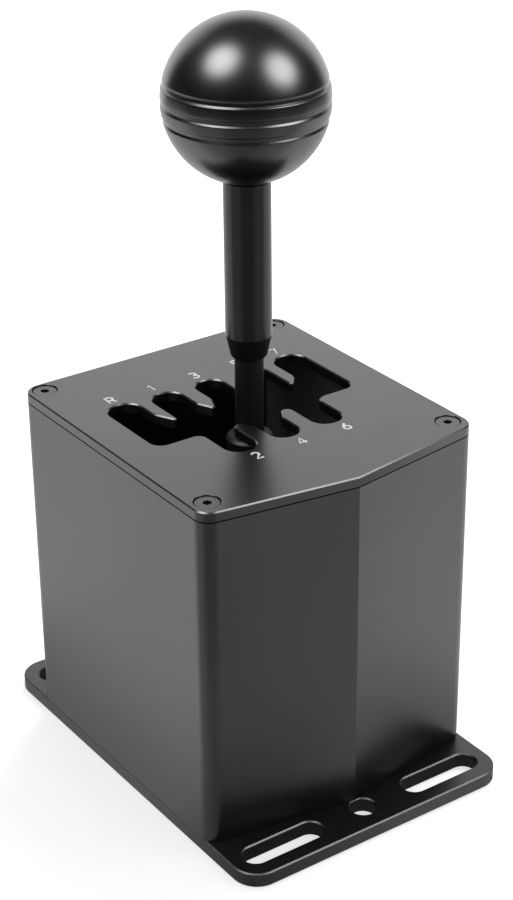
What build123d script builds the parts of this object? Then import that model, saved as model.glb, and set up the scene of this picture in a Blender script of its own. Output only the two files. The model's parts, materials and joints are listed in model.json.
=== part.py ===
from build123d import *
import math
import os

os.makedirs("parts", exist_ok=True)

# A desk-mounted gear shifter with an H gate, in millimetres.
# The origin is the middle of the base plate's underside, with Z up.
# The user sits on the -Y side, where the housing has its shallow V front.

# Shared fits
overrun = 1
thread_gap = 0.05
press_gap = 0.02
running_gap = 0.03
touch_gap = 0.1

# Base plate
base_width = 100
base_thickness = 5
front_flange = 13.75
back_flange = 18.25
base_corner_radius = 8.5
base_edge_break = 0.4
slot_length = 29
slot_width = 8.4
slot_side_margin = 4.7
slot_end_inset = 9.7
centre_hole_diameter = 8.4

# Housing, an extruded tube with a screw port in each corner
housing_depth = 103.5
housing_peak = 7.5
housing_height = 111.5
housing_wall = 3.5
housing_corner_radius = 5.5
housing_edge_break = 0.3
port_radius = 4.9
screw_inset_side = 5.75
screw_inset_front = 6.1
screw_inset_back = 5.1

# Gate plate and its screws
gate_thickness = 3.2
gate_edge_break = 0.4
gate_screw_diameter = 4
gate_screw_length = 14
gate_head_diameter = 7.3
gate_head_height = 1.4
gate_key_size = 3
gate_key_depth = 0.9
recess_diameter = 8.2
recess_depth = 2.4
recess_edge_break = 0.2

# Lever
pivot_height = 38
lever_offset = 3.3
rod_diameter = 9
post_diameter = 15
post_top_gap = 5.1
post_edge_break = 0.8
rod_seat_depth = 12
post_spigot_diameter = 10
post_spigot_length = 8.8
collar_rise = 18.6
collar_height = 7.1
collar_lip_diameter = 11.1
collar_lip_round = 0.9
collar_top_diameter = 14.2
sleeve_diameter = 14.4
sleeve_edge_break = 0.15

# Knob, a ball with three grooves round it and a threaded insert
knob_diameter = 50
knob_rise = 99.35
knob_flat_diameter = 11.8
knob_groove_width = 2.8
knob_groove_floor = 1.1
knob_groove_depth = 0.8
knob_groove_shares = (0.192, -0.034, -0.26)
insert_diameter = 11
insert_length = 14
insert_thread_diameter = 8
insert_thread_length = 12

# Gate lanes, measured from the lever at rest
gate_pitch = 16.1
outer_lane_step = 15.5
lane_clearance = 0.8
centre_lane_clearance = 0.5
outer_lane_clearance = 1.2
lane_reach_forward = 26.3
outer_lane_reach = 27
lane_reach_back = 22.5
upper_tip_reach = 8.1
lower_tip_reach = 5.9
outer_floor_reach = 5.2
funnel_length = 4.8
funnel_round = 2
upper_tip_width = 1.3
upper_tip_round = 0.7
lower_tip_width = 3.2
lower_tip_lane_round = 2.2
lower_tip_centre_round = 1
outer_floor_radius = 4
shoulder_radius = 3.3
lane_end_share = 0.48
lane_end_gap = 0.4

# Yoke ring that rocks sideways
yoke_width_share = 0.6
yoke_length_share = 0.56
yoke_half_height = 9
yoke_side_wall = 10
yoke_end_wall = 8
yoke_corner_radius = 6
yoke_inner_radius = 4

# Bearings and stub axles
axle_diameter = 8
axle_seat_length = 7
axle_shoulder_diameter = 10
bearing_diameter = 16
bearing_width = 5
bearing_ring_wall = 1.4
bearing_inner_wall = 0.95
bearing_shield = 0.6
bearing_shield_gap = 0.12
yoke_end_gap = 2
clip_width = 0.8
clip_groove_depth = 0.4
clip_ring = 1.9
clip_mouth = 5

# Bearing brackets
bracket_thickness = 8
bracket_board_gap = 2
bracket_foot_height = 6
bracket_foot_depth = 14
bracket_head_radius = 13
bracket_hole_diameter = 12.4
bracket_screw_inset = 6

# Countersunk screws put in from below
base_screw_diameter = 4
base_head_diameter = 7.6
base_head_recess = 0.3
base_screw_length = 14
bracket_screw_length = 12

# Small screws
small_screw_diameter = 3
small_head_diameter = 5.5
small_head_height = 2
board_screw_diameter = 2
board_head_diameter = 3.8
board_head_height = 1.3

# Cross shaft, bushes and hub
shaft_diameter = 8
shaft_end = 3
bush_wall = 1.5
bush_flange_diameter = 15
bush_flange = 1.5
hub_side_gap = 0.3
hub_half_length = 11
hub_rise = 15
hub_drop = 12
hub_edge_break = 1.5
grub_diameter = 4
grub_recess = 0.5

# Detent sector and its leaf spring
sector_radius = 25
sector_width = 6
sector_angle = 26
sector_neck = 6
sector_flange_width = 24
sector_flange_length = 14
sector_flange = 3
sector_screw_spacing = 17
sector_screw_length = 9
notch_side = 2.3
leaf_thickness = 0.8
leaf_width = 14
leaf_bend_radius = 1.2
leaf_leg_inset = 0.5
leaf_nose_gap = 0.2
leaf_nose_rise = 3.4
leaf_tail = 2
leaf_screw_spacing = 7
leaf_screw_length = 6
leaf_end_gap = 0.5

# Centring leaves and the pin between them
pin_diameter = 4
pin_seat_depth = 4.4
pin_rise = 11
centring_thickness = 0.7
centring_height = 8
centring_rise = 12.5
centring_ear = 13
centring_overhang = 3.5
centring_bend_radius = 1
centring_screw_reach = 8
centring_screw_length = 6
centring_margin = 1.5

# Sensors
magnet_diameter = 5
magnet_depth = 2
magnet_proud = 0.3
board_thickness = 1.6
sensor_chip = 4
sensor_chip_height = 1
select_board_width = 26
select_board_height = 15
select_boss_height = 3
select_boss_diameter = 5
select_screw_spacing = 19
select_screw_length = 6
hat_thickness = 1.5
hat_rise = 7
hat_half_length = 11.5
hat_height = 12
hat_window_diameter = 9
hat_screw_reach = 15
hat_screw_length = 6
engage_board_length = 21
engage_screw_spacing = 15

# Main board and USB socket
main_board_width = 17
main_board_length = 67
main_board_gap = 0.5
main_board_side_gap = 0.35
standoff_height = 6
standoff_diameter = 5
standoff_inset = 3
standoff_back_inset = 10
board_screw_seat = 3
main_chip_size = 9
main_chip_height = 1.2
main_chip_share = 0.3
cable_socket_length = 7.5
cable_socket_width = 5
cable_socket_height = 5.5
cable_socket_wall = 0.7
cable_socket_shares = (0.5, 0.66)
usb_width = 8.94
usb_height = 3.26
usb_length = 7.35
usb_wall = 0.35
usb_back_wall = 1
usb_tongue_width = 6.7
usb_tongue_height = 0.7
usb_tongue_length = 4.5
usb_clearance = 0.3
usb_recess = 0.5

# Places worked out from the sizes above
base_length = front_flange + housing_peak + housing_depth + back_flange
slot_spacing_x = base_width - slot_length - 2 * slot_side_margin
slot_spacing_y = base_length - 2 * slot_end_inset
side_x = base_width / 2
back_y = base_length / 2 - back_flange
front_y = back_y - housing_depth
peak_y = front_y - housing_peak
lever_y = (front_y + back_y) / 2 - lever_offset
housing_top = base_thickness + housing_height
gate_top = housing_top + gate_thickness
corner_places = [
    (side * (side_x - screw_inset_side), y)
    for side in (-1, 1)
    for y in (front_y + screw_inset_front, back_y - screw_inset_back)
]
rod_radius = rod_diameter / 2
outer_lane_pitch = gate_pitch + outer_lane_step
post_top = housing_top - post_top_gap
hub_top = pivot_height + hub_rise
collar_bottom = gate_top + collar_rise
sleeve_bottom = collar_bottom + collar_height
knob_radius = knob_diameter / 2
knob_centre = gate_top + knob_rise
knob_flat = knob_centre - math.sqrt(knob_radius**2 - (knob_flat_diameter / 2) ** 2)
yoke_half_width = yoke_width_share * (side_x - housing_wall)
yoke_half_length = yoke_length_share * (housing_depth / 2 - housing_wall)
pin_reach = yoke_half_length - yoke_end_wall / 2
main_board_edge = side_x - screw_inset_side - port_radius - main_board_side_gap
main_board_x = main_board_edge - main_board_width / 2
bracket_reach = yoke_half_length + yoke_end_gap
bracket_foot_width = 2 * (main_board_edge - main_board_width - bracket_board_gap)
bracket_screw_spacing = bracket_foot_width - 2 * bracket_screw_inset
bracket_screw_y = bracket_reach + bracket_foot_depth / 2
board_bottom = base_thickness + standoff_height
board_top = board_bottom + board_thickness
main_board_back = back_y - housing_wall - main_board_gap
main_board_front = main_board_back - main_board_length

# Travel of the lever, set by the ends of the lanes
select_angle = math.atan(gate_pitch / (gate_top - gate_thickness / 2 - pivot_height))
gate_arm = (gate_top - pivot_height) / math.cos(select_angle)
forward_angle = math.degrees(
    math.atan((lane_reach_forward - rod_radius - lane_end_gap) / gate_arm)
)
back_angle = math.degrees(math.atan((lane_reach_back - rod_radius - lane_end_gap) / gate_arm))
print("select travel", round(math.degrees(select_angle), 2), "degrees each way")
print("engage travel", round(forward_angle, 2), "forward", round(back_angle, 2), "back")


# Shared shapes
def housing_outline(inset):
    """The housing's five-sided outline, moved inwards by the inset."""
    with BuildSketch() as outline:
        with BuildLine():
            Polyline(
                (-side_x, back_y),
                (side_x, back_y),
                (side_x, front_y),
                (0, peak_y),
                (-side_x, front_y),
                close=True,
            )
        make_face()
        columns = outline.vertices().group_by(Axis.X)
        fillet(columns[0] + columns[-1], housing_corner_radius)
        if inset:
            offset(amount=-inset)
    return outline.sketch


def gate_opening():
    """The gate's outline: a neutral channel with lanes for R and 1 to 7."""
    centre = rod_radius + centre_lane_clearance
    inner_left = gate_pitch - rod_radius - lane_clearance
    inner_right = gate_pitch + rod_radius + lane_clearance
    outer_left = outer_lane_pitch - rod_radius - outer_lane_clearance
    outer_right = outer_lane_pitch + rod_radius + outer_lane_clearance
    top = lever_y + lane_reach_forward
    outer_top = lever_y + outer_lane_reach
    bottom = lever_y - lane_reach_back
    upper_tip = lever_y + upper_tip_reach
    lower_tip = lever_y - lower_tip_reach
    floor = lever_y - outer_floor_reach
    centre_end = 2 * centre * lane_end_share
    inner_end = (inner_right - inner_left) * lane_end_share
    outer_end = (outer_right - outer_left) * lane_end_share
    right_half = [
        (centre, top, centre_end),
        (centre, upper_tip + funnel_length, funnel_round),
        (inner_left - upper_tip_width, upper_tip, upper_tip_round),
        (inner_left, upper_tip, upper_tip_round),
        (inner_left, top, inner_end),
        (inner_right, top, inner_end),
        (inner_right, upper_tip, upper_tip_round),
        (inner_right + upper_tip_width, upper_tip, upper_tip_round),
        (outer_left, upper_tip + funnel_length, funnel_round),
        (outer_left, outer_top, outer_end),
        (outer_right, outer_top, outer_end),
        (outer_right, floor, outer_floor_radius),
        (inner_right, floor, shoulder_radius),
        (inner_right, bottom, inner_end),
        (inner_left, bottom, inner_end),
        (inner_left, lower_tip, lower_tip_lane_round),
        (inner_left - lower_tip_width, lower_tip, lower_tip_centre_round),
        (centre, lower_tip - funnel_length, funnel_round),
        (centre, bottom, centre_end),
    ]
    left_half = [(-x, y, radius) for x, y, radius in reversed(right_half)]
    corners = right_half + left_half
    with BuildSketch() as opening:
        with BuildLine():
            FilletPolyline(
                *[(x, y) for x, y, radius in corners],
                radius=[radius for x, y, radius in corners],
                close=True,
            )
        make_face()
    return opening.sketch


def outward_plane(direction, reach):
    """A plane facing along Y, away from the lever, centred on the sideways pivot."""
    return Plane(
        origin=(0, lever_y + direction * reach, pivot_height),
        x_dir=(-direction, 0, 0),
        z_dir=(0, direction, 0),
    )


def side_plane(direction, reach):
    """A plane facing along X, away from the lever, centred on the fore and aft pivot."""
    return Plane(
        origin=(direction * reach, lever_y, pivot_height),
        x_dir=(0, direction, 0),
        z_dir=(direction, 0, 0),
    )


def add_disc(seat, radius, height, mode=Mode.ADD):
    """A round of the given height standing on the seat plane."""
    with BuildSketch(seat) as disc:
        Circle(radius)
    extrude(disc.sketch, amount=height, mode=mode)


def add_ring(seat, outer_radius, inner_radius, height):
    """A flat ring standing on the seat plane."""
    with BuildSketch(seat) as ring:
        Circle(outer_radius)
        Circle(inner_radius, mode=Mode.SUBTRACT)
    extrude(ring.sketch, amount=height)


def add_screws(seat, places, diameter, head_diameter, head_height, length):
    """Screws with their heads on the seat plane and their shanks behind it."""
    with BuildSketch(seat) as heads:
        with Locations(*places):
            Circle(head_diameter / 2)
    extrude(heads.sketch, amount=head_height)
    with BuildSketch(seat) as shanks:
        with Locations(*places):
            Circle(diameter / 2)
    extrude(shanks.sketch, amount=-length)


def cut_screw_holes(seat, places, diameter, depth):
    """Holes for the shanks of screws whose heads are on the seat plane's side."""
    with BuildSketch(seat) as holes:
        with Locations(*places):
            Circle(diameter / 2 + thread_gap)
    extrude(holes.sketch, amount=-depth, mode=Mode.SUBTRACT)


def countersunk(places, length, gap, mode):
    """Countersunk screws put in from below, or their holes when the mode subtracts."""
    head = base_head_diameter / 2 + gap
    neck = base_screw_diameter / 2 + gap
    upward = (Align.CENTER, Align.CENTER, Align.MIN)
    with Locations(*[(x, y, base_head_recess) for x, y in places]):
        Cone(head, neck, head - neck, align=upward, mode=mode)
        Cylinder(neck, length, align=upward, mode=mode)


def add_circlip(seat, journal_diameter):
    """An open spring ring in the groove that starts at the seat plane."""
    groove_radius = journal_diameter / 2 - clip_groove_depth
    with BuildSketch(seat) as clip:
        Circle(groove_radius + clip_ring)
        Circle(groove_radius + press_gap, mode=Mode.SUBTRACT)
        Rectangle(
            clip_mouth,
            journal_diameter,
            align=(Align.CENTER, Align.MAX),
            mode=Mode.SUBTRACT,
        )
    extrude(clip.sketch, amount=clip_width)


def cut_clip_groove(seat, journal_diameter):
    """The groove for a circlip, cut outwards from the seat plane."""
    with BuildSketch(seat) as groove:
        Circle(journal_diameter / 2 + overrun)
        Circle(journal_diameter / 2 - clip_groove_depth, mode=Mode.SUBTRACT)
    extrude(groove.sketch, amount=clip_width + press_gap, mode=Mode.SUBTRACT)


# Base plate with its four fixing slots and centre hole
bracket_screw_places = [
    (side * bracket_screw_spacing / 2, lever_y + end * bracket_screw_y)
    for side in (-1, 1)
    for end in (-1, 1)
]
standoff_places = [
    (main_board_x + side * (main_board_width / 2 - standoff_inset), y)
    for side in (-1, 1)
    for y in (main_board_front + standoff_inset, main_board_back - standoff_back_inset)
]

with BuildPart() as base_plate:
    with BuildSketch():
        RectangleRounded(base_width, base_length, base_corner_radius)
        with GridLocations(slot_spacing_x, slot_spacing_y, 2, 2):
            SlotOverall(slot_length, slot_width, mode=Mode.SUBTRACT)
        with GridLocations(0, slot_spacing_y, 1, 2):
            Circle(centre_hole_diameter / 2, mode=Mode.SUBTRACT)
    extrude(amount=base_thickness)
    top_face = base_plate.faces().sort_by(Axis.Z)[-1]
    bottom_face = base_plate.faces().sort_by(Axis.Z)[0]
    chamfer(top_face.edges() + bottom_face.outer_wire().edges(), base_edge_break)
    countersunk(corner_places + bracket_screw_places, base_thickness, thread_gap, Mode.SUBTRACT)
    with Locations(*[(x, y) for x, y in corner_places + bracket_screw_places]):
        Cylinder(
            base_head_diameter / 2 + thread_gap,
            2 * base_head_recess,
            mode=Mode.SUBTRACT,
        )
    cut_screw_holes(
        Plane.XY.offset(base_thickness), standoff_places, board_screw_diameter, board_screw_seat
    )
base_plate.part.label = "base_plate"
export_step(base_plate.part, "parts/base_plate.step")

# Housing shell
usb_centre_height = board_top + usb_height / 2
usb_mouth = Plane(
    origin=(main_board_x, back_y, usb_centre_height), x_dir=(-1, 0, 0), z_dir=(0, 1, 0)
)

with BuildPart() as housing_shell:
    with BuildSketch(Plane.XY.offset(base_thickness)):
        add(housing_outline(0))
        add(housing_outline(housing_wall), mode=Mode.SUBTRACT)
        with Locations(*corner_places):
            Circle(port_radius)
            Circle(gate_screw_diameter / 2 + thread_gap, mode=Mode.SUBTRACT)
    extrude(amount=housing_height)
    top_face = housing_shell.faces().sort_by(Axis.Z)[-1]
    chamfer(top_face.outer_wire().edges(), housing_edge_break)
    with BuildSketch(usb_mouth.offset(overrun)):
        SlotOverall(usb_width + 2 * usb_clearance, usb_height + 2 * usb_clearance)
    extrude(amount=-(housing_wall + 2 * overrun), mode=Mode.SUBTRACT)
housing_shell.part.label = "housing_shell"
export_step(housing_shell.part, "parts/housing_shell.step")

# Gate plate
with BuildPart() as gate_plate:
    with BuildSketch(Plane.XY.offset(housing_top)):
        add(housing_outline(0))
        add(gate_opening(), mode=Mode.SUBTRACT)
    extrude(amount=gate_thickness)
    chamfer(gate_plate.faces().sort_by(Axis.Z)[-1].edges(), gate_edge_break)
    with Locations(*[(x, y, gate_top) for x, y in corner_places]):
        CounterBoreHole(
            gate_screw_diameter / 2 + thread_gap, recess_diameter / 2, recess_depth
        )
    rims = gate_plate.faces().sort_by(Axis.Z)[-1].inner_wires()
    mouths = [rim for rim in rims if rim.length < 2 * math.pi * recess_diameter]
    chamfer([edge for mouth in mouths for edge in mouth.edges()], recess_edge_break)
gate_plate.part.label = "gate_plate"
export_step(gate_plate.part, "parts/gate_plate.step")

# Gate plate screws, low heads with a hexagon socket
with BuildPart() as gate_plate_screws:
    gate_screw_seat = Plane.XY.offset(gate_top - recess_depth)
    add_screws(
        gate_screw_seat,
        corner_places,
        gate_screw_diameter,
        gate_head_diameter,
        gate_head_height,
        gate_screw_length,
    )
    with BuildSketch(gate_screw_seat.offset(gate_head_height)):
        with Locations(*corner_places):
            RegularPolygon(gate_key_size / 2, 6, major_radius=False)
    extrude(amount=-gate_key_depth, mode=Mode.SUBTRACT)
gate_plate_screws.part.label = "gate_plate_screws"
export_step(gate_plate_screws.part, "parts/gate_plate_screws.step")

# Screws from below: four hold the housing, four hold the bearing brackets
with BuildPart() as housing_screws:
    countersunk(corner_places, base_screw_length, 0, Mode.ADD)
housing_screws.part.label = "housing_screws"
export_step(housing_screws.part, "parts/housing_screws.step")

with BuildPart() as bracket_screws:
    countersunk(bracket_screw_places, bracket_screw_length, 0, Mode.ADD)
bracket_screws.part.label = "bracket_screws"
export_step(bracket_screws.part, "parts/bracket_screws.step")


# Bearing brackets, which stand in front of and behind the yoke
def add_bracket(direction):
    """One bracket: a plate with a foot, a bearing seat and screw holes in the foot."""
    face = outward_plane(direction, bracket_reach)
    foot_bottom = base_thickness - pivot_height
    with BuildSketch(face) as plate:
        Circle(bracket_head_radius)
        with Locations((0, foot_bottom)):
            Rectangle(
                bracket_foot_width,
                bracket_foot_height,
                align=(Align.CENTER, Align.MIN),
            )
        make_hull()
    extrude(plate.sketch, amount=bracket_thickness)
    with BuildSketch(face) as foot:
        with Locations((0, foot_bottom)):
            Rectangle(
                bracket_foot_width,
                bracket_foot_height,
                align=(Align.CENTER, Align.MIN),
            )
    extrude(foot.sketch, amount=bracket_foot_depth)
    add_disc(face, bearing_diameter / 2 + press_gap, bearing_width, Mode.SUBTRACT)
    add_disc(face, bracket_hole_diameter / 2, bracket_thickness, Mode.SUBTRACT)
    places = [
        (side * bracket_screw_spacing / 2, lever_y + direction * bracket_screw_y)
        for side in (-1, 1)
    ]
    hole_depth = bracket_screw_length + base_head_recess - base_thickness + overrun
    cut_screw_holes(
        Plane.XY.offset(base_thickness + hole_depth), places, base_screw_diameter, hole_depth
    )


centring_screw_places = [
    (side * centring_screw_reach, centring_rise + centring_height / 2) for side in (-1, 1)
]

with BuildPart() as front_bearing_bracket:
    add_bracket(-1)
    bracket_face = outward_plane(-1, bracket_reach)
    with BuildSketch(bracket_face):
        Rectangle(
            2 * (centring_ear + centring_margin),
            centring_rise + centring_height + centring_margin,
            align=(Align.CENTER, Align.MIN),
        )
        Circle(bracket_head_radius, mode=Mode.SUBTRACT)
    extrude(amount=bracket_thickness)
    cut_screw_holes(
        bracket_face, centring_screw_places, small_screw_diameter, -centring_screw_length
    )
front_bearing_bracket.part.label = "front_bearing_bracket"
export_step(front_bearing_bracket.part, "parts/front_bearing_bracket.step")

select_screw_places = [(side * select_screw_spacing / 2, 0) for side in (-1, 1)]
select_boss_plane = outward_plane(1, bracket_reach + bracket_thickness)
select_board_plane = select_boss_plane.offset(select_boss_height)

with BuildPart() as rear_bearing_bracket:
    add_bracket(1)
    with BuildSketch(select_boss_plane):
        with Locations(*select_screw_places):
            Circle(select_boss_diameter / 2)
    extrude(amount=select_boss_height)
    cut_screw_holes(
        select_board_plane, select_screw_places, board_screw_diameter, select_screw_length
    )
rear_bearing_bracket.part.label = "rear_bearing_bracket"
export_step(rear_bearing_bracket.part, "parts/rear_bearing_bracket.step")


# Shielded ball bearings, each an outer ring in its bracket and an inner ring on its axle
def add_outer_race(direction):
    """The outer ring with a shield on each face."""
    face = outward_plane(direction, bracket_reach)
    inner_ring = axle_diameter / 2 + press_gap + bearing_inner_wall
    shield_radius = inner_ring + bearing_shield_gap
    add_ring(
        face,
        bearing_diameter / 2,
        bearing_diameter / 2 - bearing_ring_wall,
        bearing_width,
    )
    for start in (0, bearing_width - bearing_shield):
        add_ring(face.offset(start), bearing_diameter / 2, shield_radius, bearing_shield)


def add_inner_race(direction):
    """The inner ring."""
    bore = axle_diameter / 2 + press_gap
    add_ring(
        outward_plane(direction, bracket_reach), bore + bearing_inner_wall, bore, bearing_width
    )


with BuildPart() as front_bearing_outer:
    add_outer_race(-1)
front_bearing_outer.part.label = "front_bearing_outer"
export_step(front_bearing_outer.part, "parts/front_bearing_outer.step")

with BuildPart() as rear_bearing_outer:
    add_outer_race(1)
rear_bearing_outer.part.label = "rear_bearing_outer"
export_step(rear_bearing_outer.part, "parts/rear_bearing_outer.step")

with BuildPart() as front_bearing_inner:
    add_inner_race(-1)
front_bearing_inner.part.label = "front_bearing_inner"
export_step(front_bearing_inner.part, "parts/front_bearing_inner.step")

with BuildPart() as rear_bearing_inner:
    add_inner_race(1)
rear_bearing_inner.part.label = "rear_bearing_inner"
export_step(rear_bearing_inner.part, "parts/rear_bearing_inner.step")


# Stub axles, pressed into the yoke's end walls
def add_stub_axle(direction):
    """A stepped axle: seat in the yoke, shoulder, journal and circlip groove."""
    start = outward_plane(direction, yoke_half_length - axle_seat_length)
    length = axle_seat_length + yoke_end_gap + bracket_thickness
    add_disc(start, axle_diameter / 2, length)
    add_disc(start.offset(axle_seat_length), axle_shoulder_diameter / 2, yoke_end_gap)
    cut_clip_groove(outward_plane(direction, bracket_reach + bearing_width), axle_diameter)


with BuildPart() as front_stub_axle:
    add_stub_axle(-1)
front_stub_axle.part.label = "front_stub_axle"
export_step(front_stub_axle.part, "parts/front_stub_axle.step")

with BuildPart() as rear_stub_axle:
    add_stub_axle(1)
    add_disc(select_boss_plane, magnet_diameter / 2 + press_gap, -magnet_depth, Mode.SUBTRACT)
rear_stub_axle.part.label = "rear_stub_axle"
export_step(rear_stub_axle.part, "parts/rear_stub_axle.step")

with BuildPart() as axle_circlips:
    for end in (-1, 1):
        add_circlip(outward_plane(end, bracket_reach + bearing_width), axle_diameter)
axle_circlips.part.label = "axle_circlips"
export_step(axle_circlips.part, "parts/axle_circlips.step")

with BuildPart() as select_magnet:
    add_disc(
        select_boss_plane.offset(-magnet_depth), magnet_diameter / 2, magnet_depth + magnet_proud
    )
select_magnet.part.label = "select_magnet"
export_step(select_magnet.part, "parts/select_magnet.step")


# Sensor boards, each with its chip facing a magnet
def add_sensor_board(seat, width, height, hole_spacing):
    """A board on the seat plane with a chip under it and two screw holes."""
    with BuildSketch(seat) as outline:
        Rectangle(width, height)
        with GridLocations(hole_spacing, 0, 2, 1):
            Circle(board_screw_diameter / 2 + thread_gap, mode=Mode.SUBTRACT)
    extrude(outline.sketch, amount=board_thickness)
    with BuildSketch(seat) as chip:
        Rectangle(sensor_chip, sensor_chip)
    extrude(chip.sketch, amount=-sensor_chip_height)


with BuildPart() as select_sensor_board:
    add_sensor_board(
        select_board_plane, select_board_width, select_board_height, select_screw_spacing
    )
select_sensor_board.part.label = "select_sensor_board"
export_step(select_sensor_board.part, "parts/select_sensor_board.step")

with BuildPart() as select_sensor_screws:
    add_screws(
        select_board_plane.offset(board_thickness),
        select_screw_places,
        board_screw_diameter,
        board_head_diameter,
        board_head_height,
        select_screw_length,
    )
select_sensor_screws.part.label = "select_sensor_screws"
export_step(select_sensor_screws.part, "parts/select_sensor_screws.step")

# Yoke ring
pin_place = (0, lever_y - pin_reach)
leaf_seat = Plane(
    origin=(0, lever_y, pivot_height - yoke_half_height), x_dir=(1, 0, 0), z_dir=(0, 0, -1)
)
leaf_mount_y = yoke_half_length - yoke_end_wall / 2
leaf_screw_places = [(side * leaf_screw_spacing / 2, leaf_mount_y) for side in (-1, 1)]
hat_seat = side_plane(1, yoke_half_width)
hat_screw_places = [(side * hat_screw_reach, 0) for side in (-1, 1)]
bush_radius = shaft_diameter / 2 + running_gap + bush_wall

with BuildPart() as yoke_ring:
    with BuildSketch(Plane.XY.offset(pivot_height - yoke_half_height)):
        with Locations((0, lever_y)):
            RectangleRounded(2 * yoke_half_width, 2 * yoke_half_length, yoke_corner_radius)
            RectangleRounded(
                2 * (yoke_half_width - yoke_side_wall),
                2 * (yoke_half_length - yoke_end_wall),
                yoke_inner_radius,
                mode=Mode.SUBTRACT,
            )
    extrude(amount=2 * yoke_half_height)
    for end in (-1, 1):
        add_disc(
            outward_plane(end, yoke_half_length),
            axle_diameter / 2 + press_gap,
            -yoke_end_wall,
            Mode.SUBTRACT,
        )
        add_disc(
            side_plane(end, yoke_half_width),
            bush_radius + press_gap,
            -yoke_side_wall,
            Mode.SUBTRACT,
        )
    with Locations((*pin_place, pivot_height + yoke_half_height)):
        Hole(pin_diameter / 2 + press_gap, pin_seat_depth)
    cut_screw_holes(leaf_seat, leaf_screw_places, small_screw_diameter, leaf_screw_length)
    cut_screw_holes(hat_seat, hat_screw_places, small_screw_diameter, hat_screw_length)
yoke_ring.part.label = "yoke_ring"
export_step(yoke_ring.part, "parts/yoke_ring.step")


# Flanged bushes for the cross shaft
def add_bush(direction):
    """A bush with its flange inside the yoke's side wall."""
    inner_face = side_plane(direction, yoke_half_width - yoke_side_wall)
    bore = shaft_diameter / 2 + running_gap
    add_ring(inner_face, bush_radius, bore, yoke_side_wall)
    add_ring(inner_face, bush_flange_diameter / 2, bore, -bush_flange)


with BuildPart() as left_shaft_bush:
    add_bush(-1)
left_shaft_bush.part.label = "left_shaft_bush"
export_step(left_shaft_bush.part, "parts/left_shaft_bush.step")

with BuildPart() as right_shaft_bush:
    add_bush(1)
right_shaft_bush.part.label = "right_shaft_bush"
export_step(right_shaft_bush.part, "parts/right_shaft_bush.step")

# Cross shaft, its circlips and its magnet
shaft_half_length = yoke_half_width + clip_width + shaft_end
clip_reach = yoke_half_width + touch_gap

with BuildPart() as cross_shaft:
    add_disc(side_plane(1, -shaft_half_length), shaft_diameter / 2, 2 * shaft_half_length)
    for end in (-1, 1):
        cut_clip_groove(side_plane(end, clip_reach), shaft_diameter)
    add_disc(
        side_plane(1, shaft_half_length),
        magnet_diameter / 2 + press_gap,
        -magnet_depth,
        Mode.SUBTRACT,
    )
cross_shaft.part.label = "cross_shaft"
export_step(cross_shaft.part, "parts/cross_shaft.step")

with BuildPart() as shaft_circlips:
    for end in (-1, 1):
        add_circlip(side_plane(end, clip_reach), shaft_diameter)
shaft_circlips.part.label = "shaft_circlips"
export_step(shaft_circlips.part, "parts/shaft_circlips.step")

with BuildPart() as engage_magnet:
    add_disc(
        side_plane(1, shaft_half_length - magnet_depth),
        magnet_diameter / 2,
        magnet_depth + magnet_proud,
    )
engage_magnet.part.label = "engage_magnet"
export_step(engage_magnet.part, "parts/engage_magnet.step")

# Hat-shaped bracket that holds the fore and aft sensor board over the shaft's end
engage_screw_places = [(side * engage_screw_spacing / 2, 0) for side in (-1, 1)]

with BuildPart() as engage_sensor_bracket:
    with BuildSketch(Plane.XY.offset(pivot_height - hat_height / 2)):
        with Locations((yoke_half_width, lever_y)):
            Rectangle(hat_rise, 2 * hat_half_length, align=(Align.MIN, Align.CENTER))
            Rectangle(
                hat_rise - hat_thickness,
                2 * (hat_half_length - hat_thickness),
                align=(Align.MIN, Align.CENTER),
                mode=Mode.SUBTRACT,
            )
        with Locations(*[(yoke_half_width, lever_y + side * hat_screw_reach) for side in (-1, 1)]):
            Rectangle(
                hat_thickness,
                2 * (hat_screw_reach - hat_half_length) + hat_thickness,
                align=(Align.MIN, Align.CENTER),
            )
    extrude(amount=hat_height)
    with BuildSketch(hat_seat.offset(hat_rise)):
        Circle(hat_window_diameter / 2)
    extrude(amount=-hat_thickness, mode=Mode.SUBTRACT)
    cut_screw_holes(
        hat_seat.offset(hat_thickness), hat_screw_places, small_screw_diameter, hat_thickness
    )
    cut_screw_holes(
        hat_seat.offset(hat_rise), engage_screw_places, board_screw_diameter, hat_thickness
    )
engage_sensor_bracket.part.label = "engage_sensor_bracket"
export_step(engage_sensor_bracket.part, "parts/engage_sensor_bracket.step")

with BuildPart() as engage_bracket_screws:
    add_screws(
        hat_seat.offset(hat_thickness),
        hat_screw_places,
        small_screw_diameter,
        small_head_diameter,
        small_head_height,
        hat_screw_length,
    )
engage_bracket_screws.part.label = "engage_bracket_screws"
export_step(engage_bracket_screws.part, "parts/engage_bracket_screws.step")

with BuildPart() as engage_sensor_board:
    add_sensor_board(
        hat_seat.offset(hat_rise), engage_board_length, hat_height, engage_screw_spacing
    )
engage_sensor_board.part.label = "engage_sensor_board"
export_step(engage_sensor_board.part, "parts/engage_sensor_board.step")

with BuildPart() as engage_sensor_screws:
    add_screws(
        hat_seat.offset(hat_rise + board_thickness),
        engage_screw_places,
        board_screw_diameter,
        board_head_diameter,
        board_head_height,
        board_thickness + hat_thickness,
    )
engage_sensor_screws.part.label = "engage_sensor_screws"
export_step(engage_sensor_screws.part, "parts/engage_sensor_screws.step")

# Lever hub on the cross shaft
hub_half_width = yoke_half_width - yoke_side_wall - bush_flange - hub_side_gap
sector_screw_places = [(side * sector_screw_spacing / 2, 0) for side in (-1, 1)]
sector_flange_bottom = Plane(
    origin=(0, lever_y, pivot_height - hub_drop - sector_flange),
    x_dir=(1, 0, 0),
    z_dir=(0, 0, -1),
)

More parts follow.
